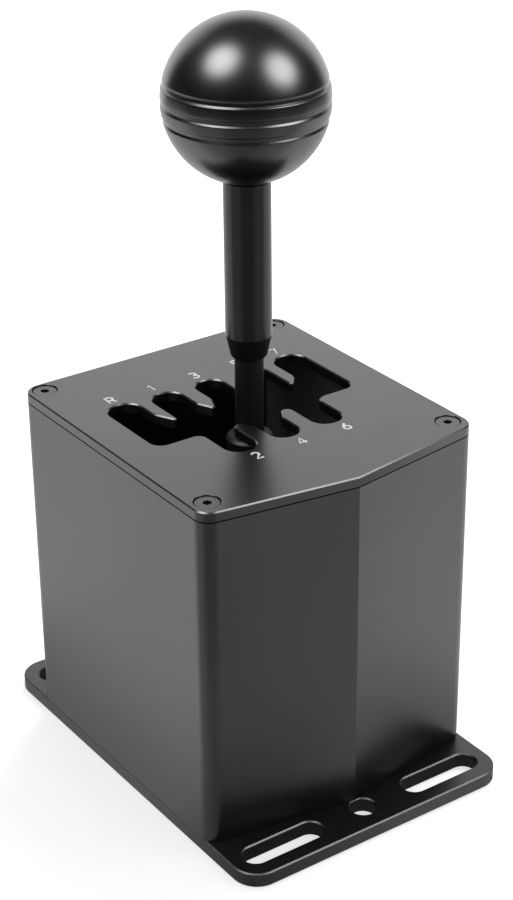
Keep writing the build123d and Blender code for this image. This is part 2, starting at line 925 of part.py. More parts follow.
with BuildPart() as lever_hub:
    with BuildSketch(Plane.XY.offset(pivot_height - hub_drop)):
        with Locations((0, lever_y)):
            Rectangle(2 * hub_half_width, 2 * hub_half_length)
    extrude(amount=hub_drop + hub_rise)
    chamfer(lever_hub.edges(), hub_edge_break)
    add_disc(
        side_plane(1, -hub_half_width),
        shaft_diameter / 2 + press_gap,
        2 * hub_half_width,
        Mode.SUBTRACT,
    )
    add_disc(
        outward_plane(-1, 0), grub_diameter / 2 + thread_gap, hub_half_length, Mode.SUBTRACT
    )
    with Locations((0, lever_y, hub_top)):
        Hole(post_spigot_diameter / 2 + thread_gap, post_spigot_length + touch_gap)
    cut_screw_holes(
        sector_flange_bottom, sector_screw_places, small_screw_diameter, sector_screw_length
    )
lever_hub.part.label = "lever_hub"
export_step(lever_hub.part, "parts/lever_hub.step")

with BuildPart() as hub_set_screw:
    grub_start = shaft_diameter / 2 + touch_gap
    add_disc(
        outward_plane(-1, grub_start),
        grub_diameter / 2,
        hub_half_length - grub_recess - grub_start,
    )
hub_set_screw.part.label = "hub_set_screw"
export_step(hub_set_screw.part, "parts/hub_set_screw.step")

# Detent sector with a notch for each lever position
notch_angles = [0, forward_angle, -back_angle]

with BuildPart() as detent_sector:
    with BuildSketch(Plane.YZ):
        with Locations((lever_y, pivot_height)):
            Circle(sector_radius)
            edge_angle = math.radians(sector_angle)
            edge_reach = sector_radius + overrun
            Polygon(
                (-sector_neck, -hub_drop),
                (sector_neck, -hub_drop),
                (edge_reach * math.sin(edge_angle), -edge_reach * math.cos(edge_angle)),
                (-edge_reach * math.sin(edge_angle), -edge_reach * math.cos(edge_angle)),
                align=None,
                mode=Mode.INTERSECT,
            )
        for notch_angle in notch_angles:
            swing = math.radians(notch_angle)
            notch_place = (
                lever_y + sector_radius * math.sin(swing),
                pivot_height - sector_radius * math.cos(swing),
            )
            with Locations(notch_place):
                Rectangle(notch_side, notch_side, rotation=45 + notch_angle, mode=Mode.SUBTRACT)
    extrude(amount=sector_width / 2, both=True)
    with BuildSketch(sector_flange_bottom):
        Rectangle(sector_flange_width, sector_flange_length)
    extrude(amount=-sector_flange)
    cut_screw_holes(
        sector_flange_bottom, sector_screw_places, small_screw_diameter, sector_flange
    )
detent_sector.part.label = "detent_sector"
export_step(detent_sector.part, "parts/detent_sector.step")

with BuildPart() as sector_screws:
    add_screws(
        sector_flange_bottom,
        sector_screw_places,
        small_screw_diameter,
        small_head_diameter,
        small_head_height,
        sector_screw_length,
    )
sector_screws.part.label = "sector_screws"
export_step(sector_screws.part, "parts/sector_screws.step")

# Leaf spring under the yoke, its nose in the sector's middle notch
notch_depth = notch_side / math.sqrt(2)
leaf_level = pivot_height - sector_radius + notch_depth - leaf_nose_gap - leaf_nose_rise
leaf_leg_y = lever_y - (yoke_half_length - yoke_end_wall) + leaf_leg_inset

with BuildPart() as detent_spring:
    with BuildSketch(Plane.YZ):
        with BuildLine():
            FilletPolyline(
                (lever_y - yoke_half_length + leaf_end_gap, pivot_height - yoke_half_height),
                (leaf_leg_y, pivot_height - yoke_half_height),
                (leaf_leg_y, leaf_level),
                (lever_y - leaf_nose_rise, leaf_level),
                (lever_y, leaf_level + leaf_nose_rise),
                (lever_y + leaf_nose_rise, leaf_level),
                (lever_y + leaf_nose_rise + leaf_tail, leaf_level),
                radius=[leaf_bend_radius, leaf_bend_radius, 0, 0, 0],
            )
            offset(amount=leaf_thickness, side=Side.RIGHT, closed=True)
        make_face()
    extrude(amount=leaf_width / 2, both=True)
    cut_screw_holes(
        leaf_seat.offset(leaf_thickness), leaf_screw_places, small_screw_diameter, leaf_thickness
    )
detent_spring.part.label = "detent_spring"
export_step(detent_spring.part, "parts/detent_spring.step")

with BuildPart() as detent_spring_screws:
    add_screws(
        leaf_seat.offset(leaf_thickness),
        leaf_screw_places,
        small_screw_diameter,
        small_head_diameter,
        small_head_height,
        leaf_screw_length,
    )
detent_spring_screws.part.label = "detent_spring_screws"
export_step(detent_spring_screws.part, "parts/detent_spring_screws.step")

# Centring pin on the yoke, between two leaves on the front bracket
with BuildPart() as centring_pin:
    pin_base = Plane.XY.offset(pivot_height + yoke_half_height - pin_seat_depth)
    with BuildSketch(pin_base):
        with Locations(pin_place):
            Circle(pin_diameter / 2)
    extrude(amount=pin_seat_depth + pin_rise)
centring_pin.part.label = "centring_pin"
export_step(centring_pin.part, "parts/centring_pin.step")

with BuildPart() as centring_springs:
    leaf_x = pin_diameter / 2 + touch_gap
    with BuildSketch(Plane.XY.offset(pivot_height + centring_rise)):
        with BuildLine():
            FilletPolyline(
                (centring_ear, lever_y - bracket_reach),
                (leaf_x, lever_y - bracket_reach),
                (leaf_x, lever_y - pin_reach + centring_overhang),
                radius=centring_bend_radius,
            )
            offset(amount=centring_thickness, side=Side.RIGHT, closed=True)
        make_face()
        mirror(about=Plane.YZ)
    extrude(amount=centring_height)
    cut_screw_holes(
        bracket_face.offset(-centring_thickness),
        centring_screw_places,
        small_screw_diameter,
        -centring_thickness,
    )
centring_springs.part.label = "centring_springs"
export_step(centring_springs.part, "parts/centring_springs.step")

with BuildPart() as centring_screws:
    with BuildSketch(bracket_face.offset(-centring_thickness)):
        with Locations(*centring_screw_places):
            Circle(small_head_diameter / 2)
    extrude(amount=-small_head_height)
    with BuildSketch(bracket_face.offset(-centring_thickness)):
        with Locations(*centring_screw_places):
            Circle(small_screw_diameter / 2)
    extrude(amount=centring_screw_length)
centring_screws.part.label = "centring_screws"
export_step(centring_screws.part, "parts/centring_screws.step")

# Lever post and rod
with BuildPart() as lever_post:
    with BuildSketch(Plane.XY.offset(hub_top)):
        with Locations((0, lever_y)):
            Circle(post_diameter / 2)
    extrude(amount=post_top - hub_top)
    chamfer(lever_post.faces().sort_by(Axis.Z)[-1].edges(), post_edge_break)
    with BuildSketch(Plane.XY.offset(hub_top)):
        with Locations((0, lever_y)):
            Circle(post_spigot_diameter / 2)
    extrude(amount=-post_spigot_length)
    with Locations((0, lever_y, post_top)):
        Hole(rod_radius + thread_gap, rod_seat_depth + touch_gap)
lever_post.part.label = "lever_post"
export_step(lever_post.part, "parts/lever_post.step")

with BuildPart() as lever_rod:
    with BuildSketch(Plane.XY.offset(post_top - rod_seat_depth)):
        with Locations((0, lever_y)):
            Circle(rod_radius)
    extrude(amount=knob_flat - post_top + rod_seat_depth)
    with BuildSketch(Plane.XY.offset(knob_flat)):
        with Locations((0, lever_y)):
            Circle(insert_thread_diameter / 2)
    extrude(amount=insert_thread_length)
lever_rod.part.label = "lever_rod"
export_step(lever_rod.part, "parts/lever_rod.step")

# Tapered collar and grip sleeve round the rod
lever_section = Plane(origin=(0, lever_y, 0), x_dir=(1, 0, 0), z_dir=(0, -1, 0))
lever_axis = Axis((0, lever_y, 0), (0, 0, 1))
sleeve_bore = rod_radius + thread_gap

with BuildPart() as lever_collar:
    with BuildSketch(lever_section):
        with BuildLine():
            FilletPolyline(
                (sleeve_bore, collar_bottom),
                (collar_lip_diameter / 2, collar_bottom),
                (collar_top_diameter / 2, sleeve_bottom),
                (sleeve_bore, sleeve_bottom),
                radius=[0, collar_lip_round, 0, 0],
                close=True,
            )
        make_face()
    revolve(axis=lever_axis)
lever_collar.part.label = "lever_collar"
export_step(lever_collar.part, "parts/lever_collar.step")

with BuildPart() as grip_sleeve:
    with BuildSketch(Plane.XY.offset(sleeve_bottom)):
        with Locations((0, lever_y)):
            Circle(sleeve_diameter / 2)
            Circle(sleeve_bore, mode=Mode.SUBTRACT)
    extrude(amount=knob_flat - sleeve_bottom)
    ends = grip_sleeve.edges().filter_by(GeomType.CIRCLE)
    rims = [edge for edge in ends if edge.radius > sleeve_diameter / 2 - touch_gap]
    chamfer(rims, sleeve_edge_break)
grip_sleeve.part.label = "grip_sleeve"
export_step(grip_sleeve.part, "parts/grip_sleeve.step")

# Ball knob
with BuildPart() as knob:
    with BuildSketch(lever_section):
        with BuildLine():
            CenterArc((0, knob_centre), knob_radius, -90, 180)
            Line((0, knob_centre + knob_radius), (0, knob_centre - knob_radius))
        make_face()
        for share in knob_groove_shares:
            height = share * knob_radius
            rim = math.sqrt(knob_radius**2 - height**2)
            mouth_reach = knob_groove_width - knob_groove_floor / 2
            with Locations((rim, knob_centre + height)):
                Polygon(
                    (-knob_groove_depth, -knob_groove_floor / 2),
                    (knob_groove_depth, -mouth_reach),
                    (knob_groove_depth, mouth_reach),
                    (-knob_groove_depth, knob_groove_floor / 2),
                    rotation=math.degrees(math.asin(share)),
                    align=None,
                    mode=Mode.SUBTRACT,
                )
        with Locations((0, knob_flat)):
            Rectangle(
                knob_diameter, knob_radius, align=(Align.CENTER, Align.MAX), mode=Mode.SUBTRACT
            )
    revolve(axis=lever_axis)
    with Locations(Plane(origin=(0, lever_y, knob_flat), z_dir=(0, 0, -1))):
        Hole(insert_diameter / 2 + press_gap, insert_length + touch_gap)
knob.part.label = "knob"
export_step(knob.part, "parts/knob.step")

with BuildPart() as knob_insert:
    with BuildSketch(Plane.XY.offset(knob_flat)):
        with Locations((0, lever_y)):
            Circle(insert_diameter / 2)
            Circle(insert_thread_diameter / 2 + thread_gap, mode=Mode.SUBTRACT)
    extrude(amount=insert_length)
knob_insert.part.label = "knob_insert"
export_step(knob_insert.part, "parts/knob_insert.step")

# Main board on standoffs beside the yoke
with BuildPart() as board_standoffs:
    with BuildSketch(Plane.XY.offset(base_thickness)):
        with Locations(*standoff_places):
            Circle(standoff_diameter / 2)
            Circle(board_screw_diameter / 2 + thread_gap, mode=Mode.SUBTRACT)
    extrude(amount=standoff_height)
board_standoffs.part.label = "board_standoffs"
export_step(board_standoffs.part, "parts/board_standoffs.step")

with BuildPart() as main_board:
    with BuildSketch(Plane.XY.offset(board_bottom)):
        with Locations((main_board_x, main_board_back)):
            Rectangle(main_board_width, main_board_length, align=(Align.CENTER, Align.MAX))
        with Locations(*standoff_places):
            Circle(board_screw_diameter / 2 + thread_gap, mode=Mode.SUBTRACT)
    extrude(amount=board_thickness)
main_board.part.label = "main_board"
export_step(main_board.part, "parts/main_board.step")

with BuildPart() as main_board_screws:
    add_screws(
        Plane.XY.offset(board_top),
        standoff_places,
        board_screw_diameter,
        board_head_diameter,
        board_head_height,
        board_thickness + standoff_height + board_screw_seat - touch_gap,
    )
main_board_screws.part.label = "main_board_screws"
export_step(main_board_screws.part, "parts/main_board_screws.step")

with BuildPart() as main_chip:
    with BuildSketch(Plane.XY.offset(board_top)):
        with Locations((main_board_x, main_board_front + main_board_length * main_chip_share)):
            Rectangle(main_chip_size, main_chip_size)
    extrude(amount=main_chip_height)
main_chip.part.label = "main_chip"
export_step(main_chip.part, "parts/main_chip.step")

with BuildPart() as cable_sockets:
    places = [
        (main_board_x, main_board_front + main_board_length * share)
        for share in cable_socket_shares
    ]
    with BuildSketch(Plane.XY.offset(board_top)):
        with Locations(*places):
            Rectangle(cable_socket_length, cable_socket_width)
    extrude(amount=cable_socket_height)
    with BuildSketch(Plane.XY.offset(board_top + cable_socket_wall)):
        with Locations(*places):
            Rectangle(
                cable_socket_length - 2 * cable_socket_wall,
                cable_socket_width - 2 * cable_socket_wall,
            )
    extrude(amount=cable_socket_height, mode=Mode.SUBTRACT)
cable_sockets.part.label = "cable_sockets"
export_step(cable_sockets.part, "parts/cable_sockets.step")

# USB socket, its mouth just inside the housing's back wall
with BuildPart() as usb_socket:
    socket_mouth = usb_mouth.offset(-usb_recess)
    with BuildSketch(socket_mouth):
        SlotOverall(usb_width, usb_height)
    extrude(amount=-usb_length)
    with BuildSketch(socket_mouth):
        SlotOverall(usb_width - 2 * usb_wall, usb_height - 2 * usb_wall)
    extrude(amount=-(usb_length - usb_back_wall), mode=Mode.SUBTRACT)
    with BuildSketch(socket_mouth.offset(usb_back_wall - usb_length)):
        Rectangle(usb_tongue_width, usb_tongue_height)
    extrude(amount=usb_tongue_length)
usb_socket.part.label = "usb_socket"
export_step(usb_socket.part, "parts/usb_socket.step")
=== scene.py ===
"""Looks for a desk-mounted gear shifter with an H gate, laid out as an add-on."""

import json
import math

import bmesh
import bpy
from bpy.props import FloatProperty, FloatVectorProperty, IntProperty, PointerProperty
from bpy.types import Operator, Panel, PropertyGroup
from mathutils import Matrix, Vector
from mathutils.geometry import tessellate_polygon


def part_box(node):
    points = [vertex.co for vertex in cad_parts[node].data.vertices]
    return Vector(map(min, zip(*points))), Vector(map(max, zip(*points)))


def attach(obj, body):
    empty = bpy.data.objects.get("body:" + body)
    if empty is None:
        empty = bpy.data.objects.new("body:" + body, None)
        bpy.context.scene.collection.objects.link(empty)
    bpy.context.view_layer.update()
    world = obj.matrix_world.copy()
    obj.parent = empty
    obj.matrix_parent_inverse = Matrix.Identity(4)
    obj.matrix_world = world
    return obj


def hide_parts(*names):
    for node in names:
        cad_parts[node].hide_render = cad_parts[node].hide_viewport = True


bl_info = {
    "name": "Gear shifter looks",
    "version": (1, 0, 0),
    "blender": (4, 5, 0),
    "location": "3D Viewport > Sidebar > Shifter",
    "description": "Builds the finishes and fine pieces of a gear shifter round its CAD parts",
    "category": "Object",
}

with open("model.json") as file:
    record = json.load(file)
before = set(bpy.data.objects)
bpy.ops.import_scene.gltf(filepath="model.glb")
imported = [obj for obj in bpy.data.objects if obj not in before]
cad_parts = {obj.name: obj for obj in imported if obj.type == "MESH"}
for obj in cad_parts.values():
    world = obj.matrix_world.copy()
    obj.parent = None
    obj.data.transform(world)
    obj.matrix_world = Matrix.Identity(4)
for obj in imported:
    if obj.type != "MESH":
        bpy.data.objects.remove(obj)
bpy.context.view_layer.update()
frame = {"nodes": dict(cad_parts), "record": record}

MM = 0.001
UP = Vector((0, 0, 1))
BLACK = (0, 0, 0, 1)
WHITE = (1, 1, 1, 1)
# A distance too small to matter, for faces that touch
HAIR = 0.01 * MM


# Sizes and colours a user may change
def length(label, about, millimetres):
    """A length, given in millimetres and kept in metres."""
    return FloatProperty(
        name=label, description=about, default=millimetres * MM, min=0, unit="LENGTH", precision=5
    )


def flat_count(label, about, default):
    """The number of flats round a turned piece."""
    return IntProperty(name=label, description=about, default=default, min=16)


def tint(label, about, default):
    """An opaque colour."""
    return FloatVectorProperty(
        name=label, description=about, default=(*default, 1), size=4, subtype="COLOR", min=0, max=1
    )


def node_box(node):
    """The lowest and highest corners of a CAD part."""
    low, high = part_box(node)
    return Vector(low), Vector(high)


base_high = node_box("base_plate")[1]
gate_low, gate_high = node_box("gate_plate")
rod_low, rod_high = node_box("lever_rod")
knob_low, knob_high = node_box("knob")
collar_low, collar_high = node_box("lever_collar")
sleeve_low, sleeve_high = node_box("grip_sleeve")
lever_axis = (rod_low + rod_high) / 2
lever_axis.z = 0


class GateSizes(PropertyGroup):
    """Sizes of the gate plate, its lanes, screws and printed characters."""

    lane_pitch: length("Lane pitch", "From the middle lane to the lanes beside it", 16.1)
    outer_step: length("Outer step", "From those lanes to the outer ones", 15.5)
    lane_side: length("Lane side gap", "Room beside the rod in an inner lane", 0.8)
    centre_side: length("Centre side gap", "Room beside the rod in the middle lane", 0.5)
    outer_side: length("Outer side gap", "Room beside the rod in an outer lane", 1.2)
    reach_forward: length("Forward reach", "From rest to the far end of a lane", 26.3)
    reach_outer: length("Outer reach", "From rest to the far end of an outer lane", 27)
    reach_back: length("Back reach", "From rest to the near end of a lane", 22.5)
    upper_tip: length("Upper tip", "From rest to the tips of the far fingers", 8.1)
    lower_tip: length("Lower tip", "From rest to the tips of the near fingers", 5.9)
    outer_floor: length("Outer floor", "From rest to the near end of an outer lane", 5.2)
    funnel: length("Funnel", "Length of the near fingers' slopes", 4.8)
    funnel_round: length("Funnel round", "Radius where those slopes end", 2)
    point_slope: length("Point slope", "Length of the inner far fingers' slopes", 5.4)
    point_width: length("Point width", "Width of an inner far finger's tip", 1)
    point_round: length("Point round", "Radius of that tip's corners", 0.5)
    left_slope: length("Left slope", "Length of the slope beside lane R", 6.6)
    left_bend: length("Left bend", "Radius where that slope ends", 6)
    right_slope: length("Right slope", "Length of the slope beside lane 7", 4)
    right_bend: length("Right bend", "Radius where that slope ends", 2.4)
    upper_width: length("Upper tip width", "Width of an outer far finger's tip", 1.2)
    upper_round: length("Upper tip round", "Radius of that tip's corners", 0.7)
    lower_width: length("Lower tip width", "Width of a near finger's blunt tip", 3.2)
    lower_round: length("Lower tip round", "Radius of that tip beside the lane", 2.2)
    lower_inner: length("Lower inner round", "Radius of that tip at its slope", 1)
    floor_round: length("Floor round", "Radius at the near end of an outer lane", 4)
    shoulder_round: length("Shoulder round", "Radius beside the near lanes", 3.3)
    peak: length("Peak", "How far the front's middle stands out", 7.5)
    corner_round: length("Corner round", "Radius of the plate's corners", 5.5)
    edge_break: length("Edge break", "Width of the slant on the top edges", 0.38)
    seam_round: length("Seam round", "Radius of the lower edges", 0.2)
    screw_side: length("Screw side inset", "From the plate's side to a screw", 5.75)
    screw_front: length("Screw front inset", "From the front corner to a screw", 6.1)
    screw_back: length("Screw back inset", "From the back edge to a screw", 5.1)
    recess_radius: length("Recess radius", "Radius of a screw's recess", 4.1)
    recess_depth: length("Recess depth", "Depth of a screw's recess", 2.4)
    screw_radius: length("Screw radius", "Radius of a screw's shank", 2)
    head_radius: length("Head radius", "Radius of a screw's head", 3.85)
    head_height: length("Head height", "Height of a screw's head", 2.1)
    screw_length: length("Screw length", "Length of a screw under its head", 14)
    key_radius: length("Key radius", "Half the width of a screw's hexagon", 1.25)
    key_depth: length("Key depth", "Depth of a screw's hexagon", 1.5)
    base_head_radius: length("Base head radius", "Radius of a base screw's head", 3.8)
    letter_height: length("Letter height", "Height of a printed character", 4.7)
    letter_stroke: length("Letter stroke", "Width of a printed line", 0.82)
    letter_rise: length("Letter rise", "Thickness of the print", 0.04)
    far_row: length("Far row", "From the lever to the far row of characters", 31.2)
    near_row: length("Near row", "From the lever to the near row of characters", 26.9)


class LeverSizes(PropertyGroup):
    """Sizes of the knob, collar and grip sleeve."""

    groove_width: length("Groove width", "Width of a groove in the knob", 2.2)
    groove_floor: length("Groove floor", "Width of a groove at its bottom", 1)
    groove_depth: length("Groove depth", "Depth of a groove in the knob", 0.5)
    groove_lip: length("Groove lip", "Radius of a groove's edges", 0.5)
    groove_root: length("Groove root", "Radius at a groove's bottom", 0.2)
    insert_radius: length("Insert radius", "Radius of the bore for the insert", 5.52)
    insert_depth: length("Insert depth", "Depth of the bore for the insert", 14.1)
    bore_radius: length("Bore radius", "Radius of the bore round the rod", 4.55)
    lip_radius: length("Lip radius", "Radius of the collar's lower end", 5.55)
    lip_round: length("Lip round", "Rounding of the collar's lower end", 0.9)
    sleeve_round: length("Sleeve round", "Rounding of the sleeve's ends", 0.15)
    knob_steps: flat_count("Knob steps", "Flats round the knob", 128)
    rod_steps: flat_count("Rod steps", "Flats round the sleeve and collar", 72)


class Finishes(PropertyGroup):
    """Colours of the finishes; those of material slots have the slots' names."""

    body_black: tint("Body", "Anodised housing and gate plate", (0.006, 0.006, 0.0062))
    # Painted light: far lighter than the body, standing in for light that falls in through the
    # lanes
    inner_walls: tint("Inner walls", "Inside of the housing", (0.25, 0.25, 0.254))
    base_black: tint("Base", "Smooth anodised base plate", (0.004, 0.004, 0.0041))
    knob_black: tint("Knob", "Satin black knob", (0.005, 0.005, 0.0052))
    rod_black: tint("Rod", "Blackened rod", (0.005, 0.005, 0.005))
    sleeve_black: tint("Sleeve", "Satin black sleeve", (0.007, 0.007, 0.007))
    collar_black: tint("Collar", "Moulded black collar", (0.003, 0.003, 0.003))
    screw_black: tint("Screw", "Blackened screws", (0.02, 0.02, 0.0205))
    screw_steel: tint("Inner screw", "Plain steel screws", (0.42, 0.43, 0.45))
    bearing_steel: tint("Bearing", "Polished bearing rings", (0.62, 0.62, 0.64))
    shaft_steel: tint("Shaft", "Ground steel shafts", (0.5, 0.5, 0.52))
    spring_steel: tint("Spring", "Blued leaf springs", (0.2, 0.22, 0.28))
    bracket_aluminium: tint("Bracket", "Bare aluminium", (0.58, 0.59, 0.61))
    bush_bronze: tint("Bush", "Bronze bushes", (0.5, 0.3, 0.12))
    magnet_nickel: tint("Magnet", "Plated magnets", (0.66, 0.66, 0.66))
    circuit_board: tint("Board", "Lacquered circuit boards", (0.012, 0.09, 0.035))
    chip_black: tint("Chip", "Moulded chips", (0.02, 0.02, 0.02))
    socket_white: tint("Socket", "Moulded cable sockets", (0.7, 0.67, 0.6))
    usb_steel: tint("USB socket", "Plated steel shell", (0.6, 0.6, 0.6))
    print_white: tint("Print", "Printed characters", (0.85, 0.85, 0.84))
    floor: tint("Floor", "Floor and backdrop", (0.92, 0.92, 0.92))


# Outlines and meshes
def rounded(corners, closed=True, step=math.radians(9)):
    """The points of an outline whose corners, given as (x, y, radius), are rounded."""
    points = []
    last = len(corners) - 1
    for index, (x, y, radius) in enumerate(corners):
        here = Vector((x, y))
        if radius == 0 or (not closed and index in (0, last)):
            points.append(here)
            continue
        back = (Vector(corners[index - 1][:2]) - here).normalized()
        ahead = (Vector(corners[(index + 1) % (last + 1)][:2]) - here).normalized()
        half = back.angle(ahead) / 2
        reach = radius / math.tan(half)
        centre = here + (back + ahead).normalized() * radius / math.sin(half)
        start = here + back * reach - centre
        end = here + ahead * reach - centre
        first = math.atan2(start.y, start.x)
        turn = math.atan2(end.y, end.x) - first
        turn = (turn + math.pi) % (2 * math.pi) - math.pi
        count = max(1, math.ceil(abs(turn) / step))
        for part in range(count + 1):
            angle = first + turn * part / count
            points.append(centre + radius * Vector((math.cos(angle), math.sin(angle))))
    return points


def circle(centre, radius, count):
    """The points of a circle, anticlockwise."""
    turns = [2 * math.pi * index / count for index in range(count)]
    return [Vector(centre) + radius * Vector((math.cos(a), math.sin(a))) for a in turns]


def moved_in(points, amount, least_lean=0.5):
    """An outline moved to its left by the amount, into the material."""
    moved = []
    for index, here in enumerate(points):
        before = (here - points[index - 1]).normalized()
        after = (points[(index + 1) % len(points)] - here).normalized()
        left = Vector((-before.y - after.y, before.x + after.x)).normalized()
        lean = max(left.dot(Vector((-before.y, before.x))), least_lean)
        moved.append(here + left * amount / lean)
    return moved


def edge_profile(radius, height, downwards, steps=4):
    """Pairs of (inset, height) that round an edge lying at the given height."""
    pairs = []
    for index in range(steps + 1):
        angle = math.pi / 2 * index / steps
        less_sine = radius * (1 - math.sin(angle))
        less_cosine = radius * (1 - math.cos(angle))
        if downwards:
            pairs.append((less_sine, height - less_cosine))
        else:
            pairs.append((less_cosine, height + less_sine))
    return pairs


def solid_from(loops):
    """A closed mesh from loops of (points, profile, blind), material on the left of each.

    A profile runs from the top to the bottom. A blind loop gets a floor of its own.
    """
    shape = bmesh.new()
    tops = []
    bottoms = []
    for points, profile, blind in loops:
        rings = []
        for inset, level in profile:
            ring = moved_in(points, inset) if inset else points
            rings.append([shape.verts.new((p.x, p.y, level)) for p in ring])
        count = len(points)
        for upper, lower in zip(rings, rings[1:]):
            for index in range(count):
                after = (index + 1) % count
                shape.faces.new((upper[index], lower[index], lower[after], upper[after]))
        tops.append(rings[0])
        if blind:
            shape.faces.new(rings[-1][::-1])
        else:
            bottoms.append(rings[-1])
    for rings in (tops, bottoms):
        flat = [vert for ring in rings for vert in ring]
        for triangle in tessellate_polygon([[vert.co for vert in ring] for ring in rings]):
            shape.faces.new([flat[index] for index in triangle])
    bmesh.ops.recalc_face_normals(shape, faces=shape.faces)
    return shape


def turned(profile, centre, steps, closed):
    """A shape turned round a vertical axis from (radius, height) pairs."""
    shape = bmesh.new()
    rings = []
    for radius, height in profile:
        if radius == 0:
            rings.append([shape.verts.new((centre.x, centre.y, height))])
            continue
        ring = circle((centre.x, centre.y), radius, steps)
        rings.append([shape.verts.new((p.x, p.y, height)) for p in ring])
    pairs = list(zip(rings, rings[1:]))
    if closed:
        pairs.append((rings[-1], rings[0]))
    for first, second in pairs:
        for index in range(steps):
            after = (index + 1) % steps
            corners = [
                first[index % len(first)],
                first[after % len(first)],
                second[after % len(second)],
                second[index % len(second)],
            ]
            corners = list(dict.fromkeys(corners))
            if len(corners) > 2:
                shape.faces.new(corners)
    bmesh.ops.recalc_face_normals(shape, faces=shape.faces)
    return shape


def crease(shape, sharp=math.radians(32), exact=0.0001):
    """Smooth shading, with sharp edges at corners and round every flat face."""
    for face in shape.faces:
        face.smooth = True
    for edge in shape.edges:
        if len(edge.link_faces) != 2:
            continue
        one, other = edge.link_faces
        flats = [abs(face.normal.z) > 1 - exact for face in (one, other)]
        walls = [abs(face.normal.z) < exact for face in (one, other)]
        edge.smooth = (
            flats[0] == flats[1] and walls[0] == walls[1] and edge.calc_face_angle() < sharp
        )


def new_piece(name, shape, material):
    """An object from a finished bmesh, at the origin, with one material."""
    mesh = bpy.data.meshes.new(name)
    shape.to_mesh(mesh)
    shape.free()
    mesh.materials.append(material)
    piece = bpy.data.objects.new(name, mesh)
    bpy.context.scene.collection.objects.link(piece)
    return piece


# Shader building
def fill(node, inputs):
    """Fills a node's inputs; each value is a socket to link or a plain value."""
    for label, value in inputs.items():
        if isinstance(value, bpy.types.NodeSocket):
            node.id_data.links.new(value, node.inputs[label])
        else:
            node.inputs[label].default_value = value


def add(tree, kind, inputs, **settings):
    """A new node with its settings and inputs."""
    node = tree.nodes.new(kind)
    for label, value in settings.items():
        setattr(node, label, value)
    fill(node, inputs)
    return node


def maths(tree, operation, *values):
    """The result of a math node; each value is a socket or a number."""
    return add(tree, "ShaderNodeMath", dict(enumerate(values)), operation=operation).outputs[0]


def product(tree, first, *others):
    """All the values multiplied."""
    for other in others:
        first = maths(tree, "MULTIPLY", first, other)
    return first


def mixed(tree, share, first, second):
    """The first colour, turning into the second as the share rises."""
    inputs = {"Factor": share, "A": first, "B": second}
    return add(tree, "ShaderNodeMix", inputs, data_type="RGBA").outputs["Result"]


def noise(tree, vector, scale, detail):
    """A noise texture centred on zero."""
    inputs = {"Vector": vector, "Scale": scale, "Detail": detail}
    return maths(tree, "SUBTRACT", add(tree, "ShaderNodeTexNoise", inputs).outputs["Fac"], 0.5)


def split(tree, vector):
    """The X, Y and Z sockets of a vector."""
    return add(tree, "ShaderNodeSeparateXYZ", {0: vector}).outputs


def object_place(tree):
    """The object coordinates, whole and split."""
    place = tree.nodes.new("ShaderNodeTexCoord").outputs["Object"]
    return place, split(tree, place)


def fresh_group(name, **inputs):
    """A shader node group and its input sockets, each a number with its default."""
    group = bpy.data.node_groups.new(name, "ShaderNodeTree")
    for label, default in inputs.items():
        socket = group.interface.new_socket(
            label.replace("_", " "), in_out="INPUT", socket_type="NodeSocketFloat"
        )
        socket.default_value = default
    return group, group.nodes.new("NodeGroupInput").outputs


def give_out(group, **outputs):
    """The group, with each of its outputs made and linked to its result."""
    for label in outputs:
        group.interface.new_socket(label, in_out="OUTPUT", socket_type="NodeSocketFloat")
    add(group, "NodeGroupOutput", outputs)
    return group


def put_group(tree, group, **values):
    """The outputs of a shared group, placed in a material with its own values."""
    inputs = {label.replace("_", " "): value for label, value in values.items()}
    return add(tree, "ShaderNodeGroup", inputs, node_tree=group).outputs


def grain_group():
    """Fine surface grain and slow cloudiness, the grain stretched along one axis."""
    group, given = fresh_group("Surface grain", Fine_Scale=4000, Stretch=1, Cloud_Scale=40)
    place, parts = object_place(group)
    squeezed = maths(group, "DIVIDE", parts["Z"], given["Stretch"])
    joined = add(group, "ShaderNodeCombineXYZ", {"X": parts["X"], "Y": parts["Y"], "Z": squeezed})
    return give_out(
        group,
        Grain=noise(group, joined.outputs[0], given["Fine Scale"], 2),
        Cloud=noise(group, place, given["Cloud Scale"], 3),
    )


def turning_group():
    """Fine rings left by a lathe round the lever's axis."""
    group, given = fresh_group("Turning marks", Centre_Y=0, Ring_Scale=3000)
    parts = object_place(group)[1]
    depth = maths(group, "SUBTRACT", parts["Y"], given["Centre Y"])
    across = product(group, parts["X"], parts["X"])
    radius = maths(group, "SQRT", maths(group, "MULTIPLY_ADD", depth, depth, across))
    joined = add(group, "ShaderNodeCombineXYZ", {"X": radius, "Z": parts["Z"]})
    return give_out(group, Rings=noise(group, joined.outputs[0], given["Ring Scale"], 1))


def seam_shadow_group():
    """A mask of the narrow strip under a seam at a given height, where a shadow is painted."""
    group, given = fresh_group("Seam shade", Height=0, Reach=1)
    parts = object_place(group)[1]
    under = maths(group, "SUBTRACT", given["Height"], parts["Z"])
    below = maths(group, "LESS_THAN", under, given["Reach"])
    above = maths(group, "GREATER_THAN", under, -HAIR)
    return give_out(group, Mask=product(group, above, below))


def painted_inner_light_group():
    """A mask of the walls that face into the housing, where a lighter colour paints the light
    falling in through the lanes.
    """
    group, given = fresh_group("Inner walls", Half_Width=1, Half_Depth=1)
    parts = object_place(group)[1]
    mask = maths(group, "LESS_THAN", parts["Z"], gate_low.z - HAIR)
    for axis, limit in (("X", "Half Width"), ("Y", "Half Depth")):
        off = maths(group, "ABSOLUTE", parts[axis])
        mask = product(group, mask, maths(group, "LESS_THAN", off, given[limit]))
    return give_out(group, Mask=mask)


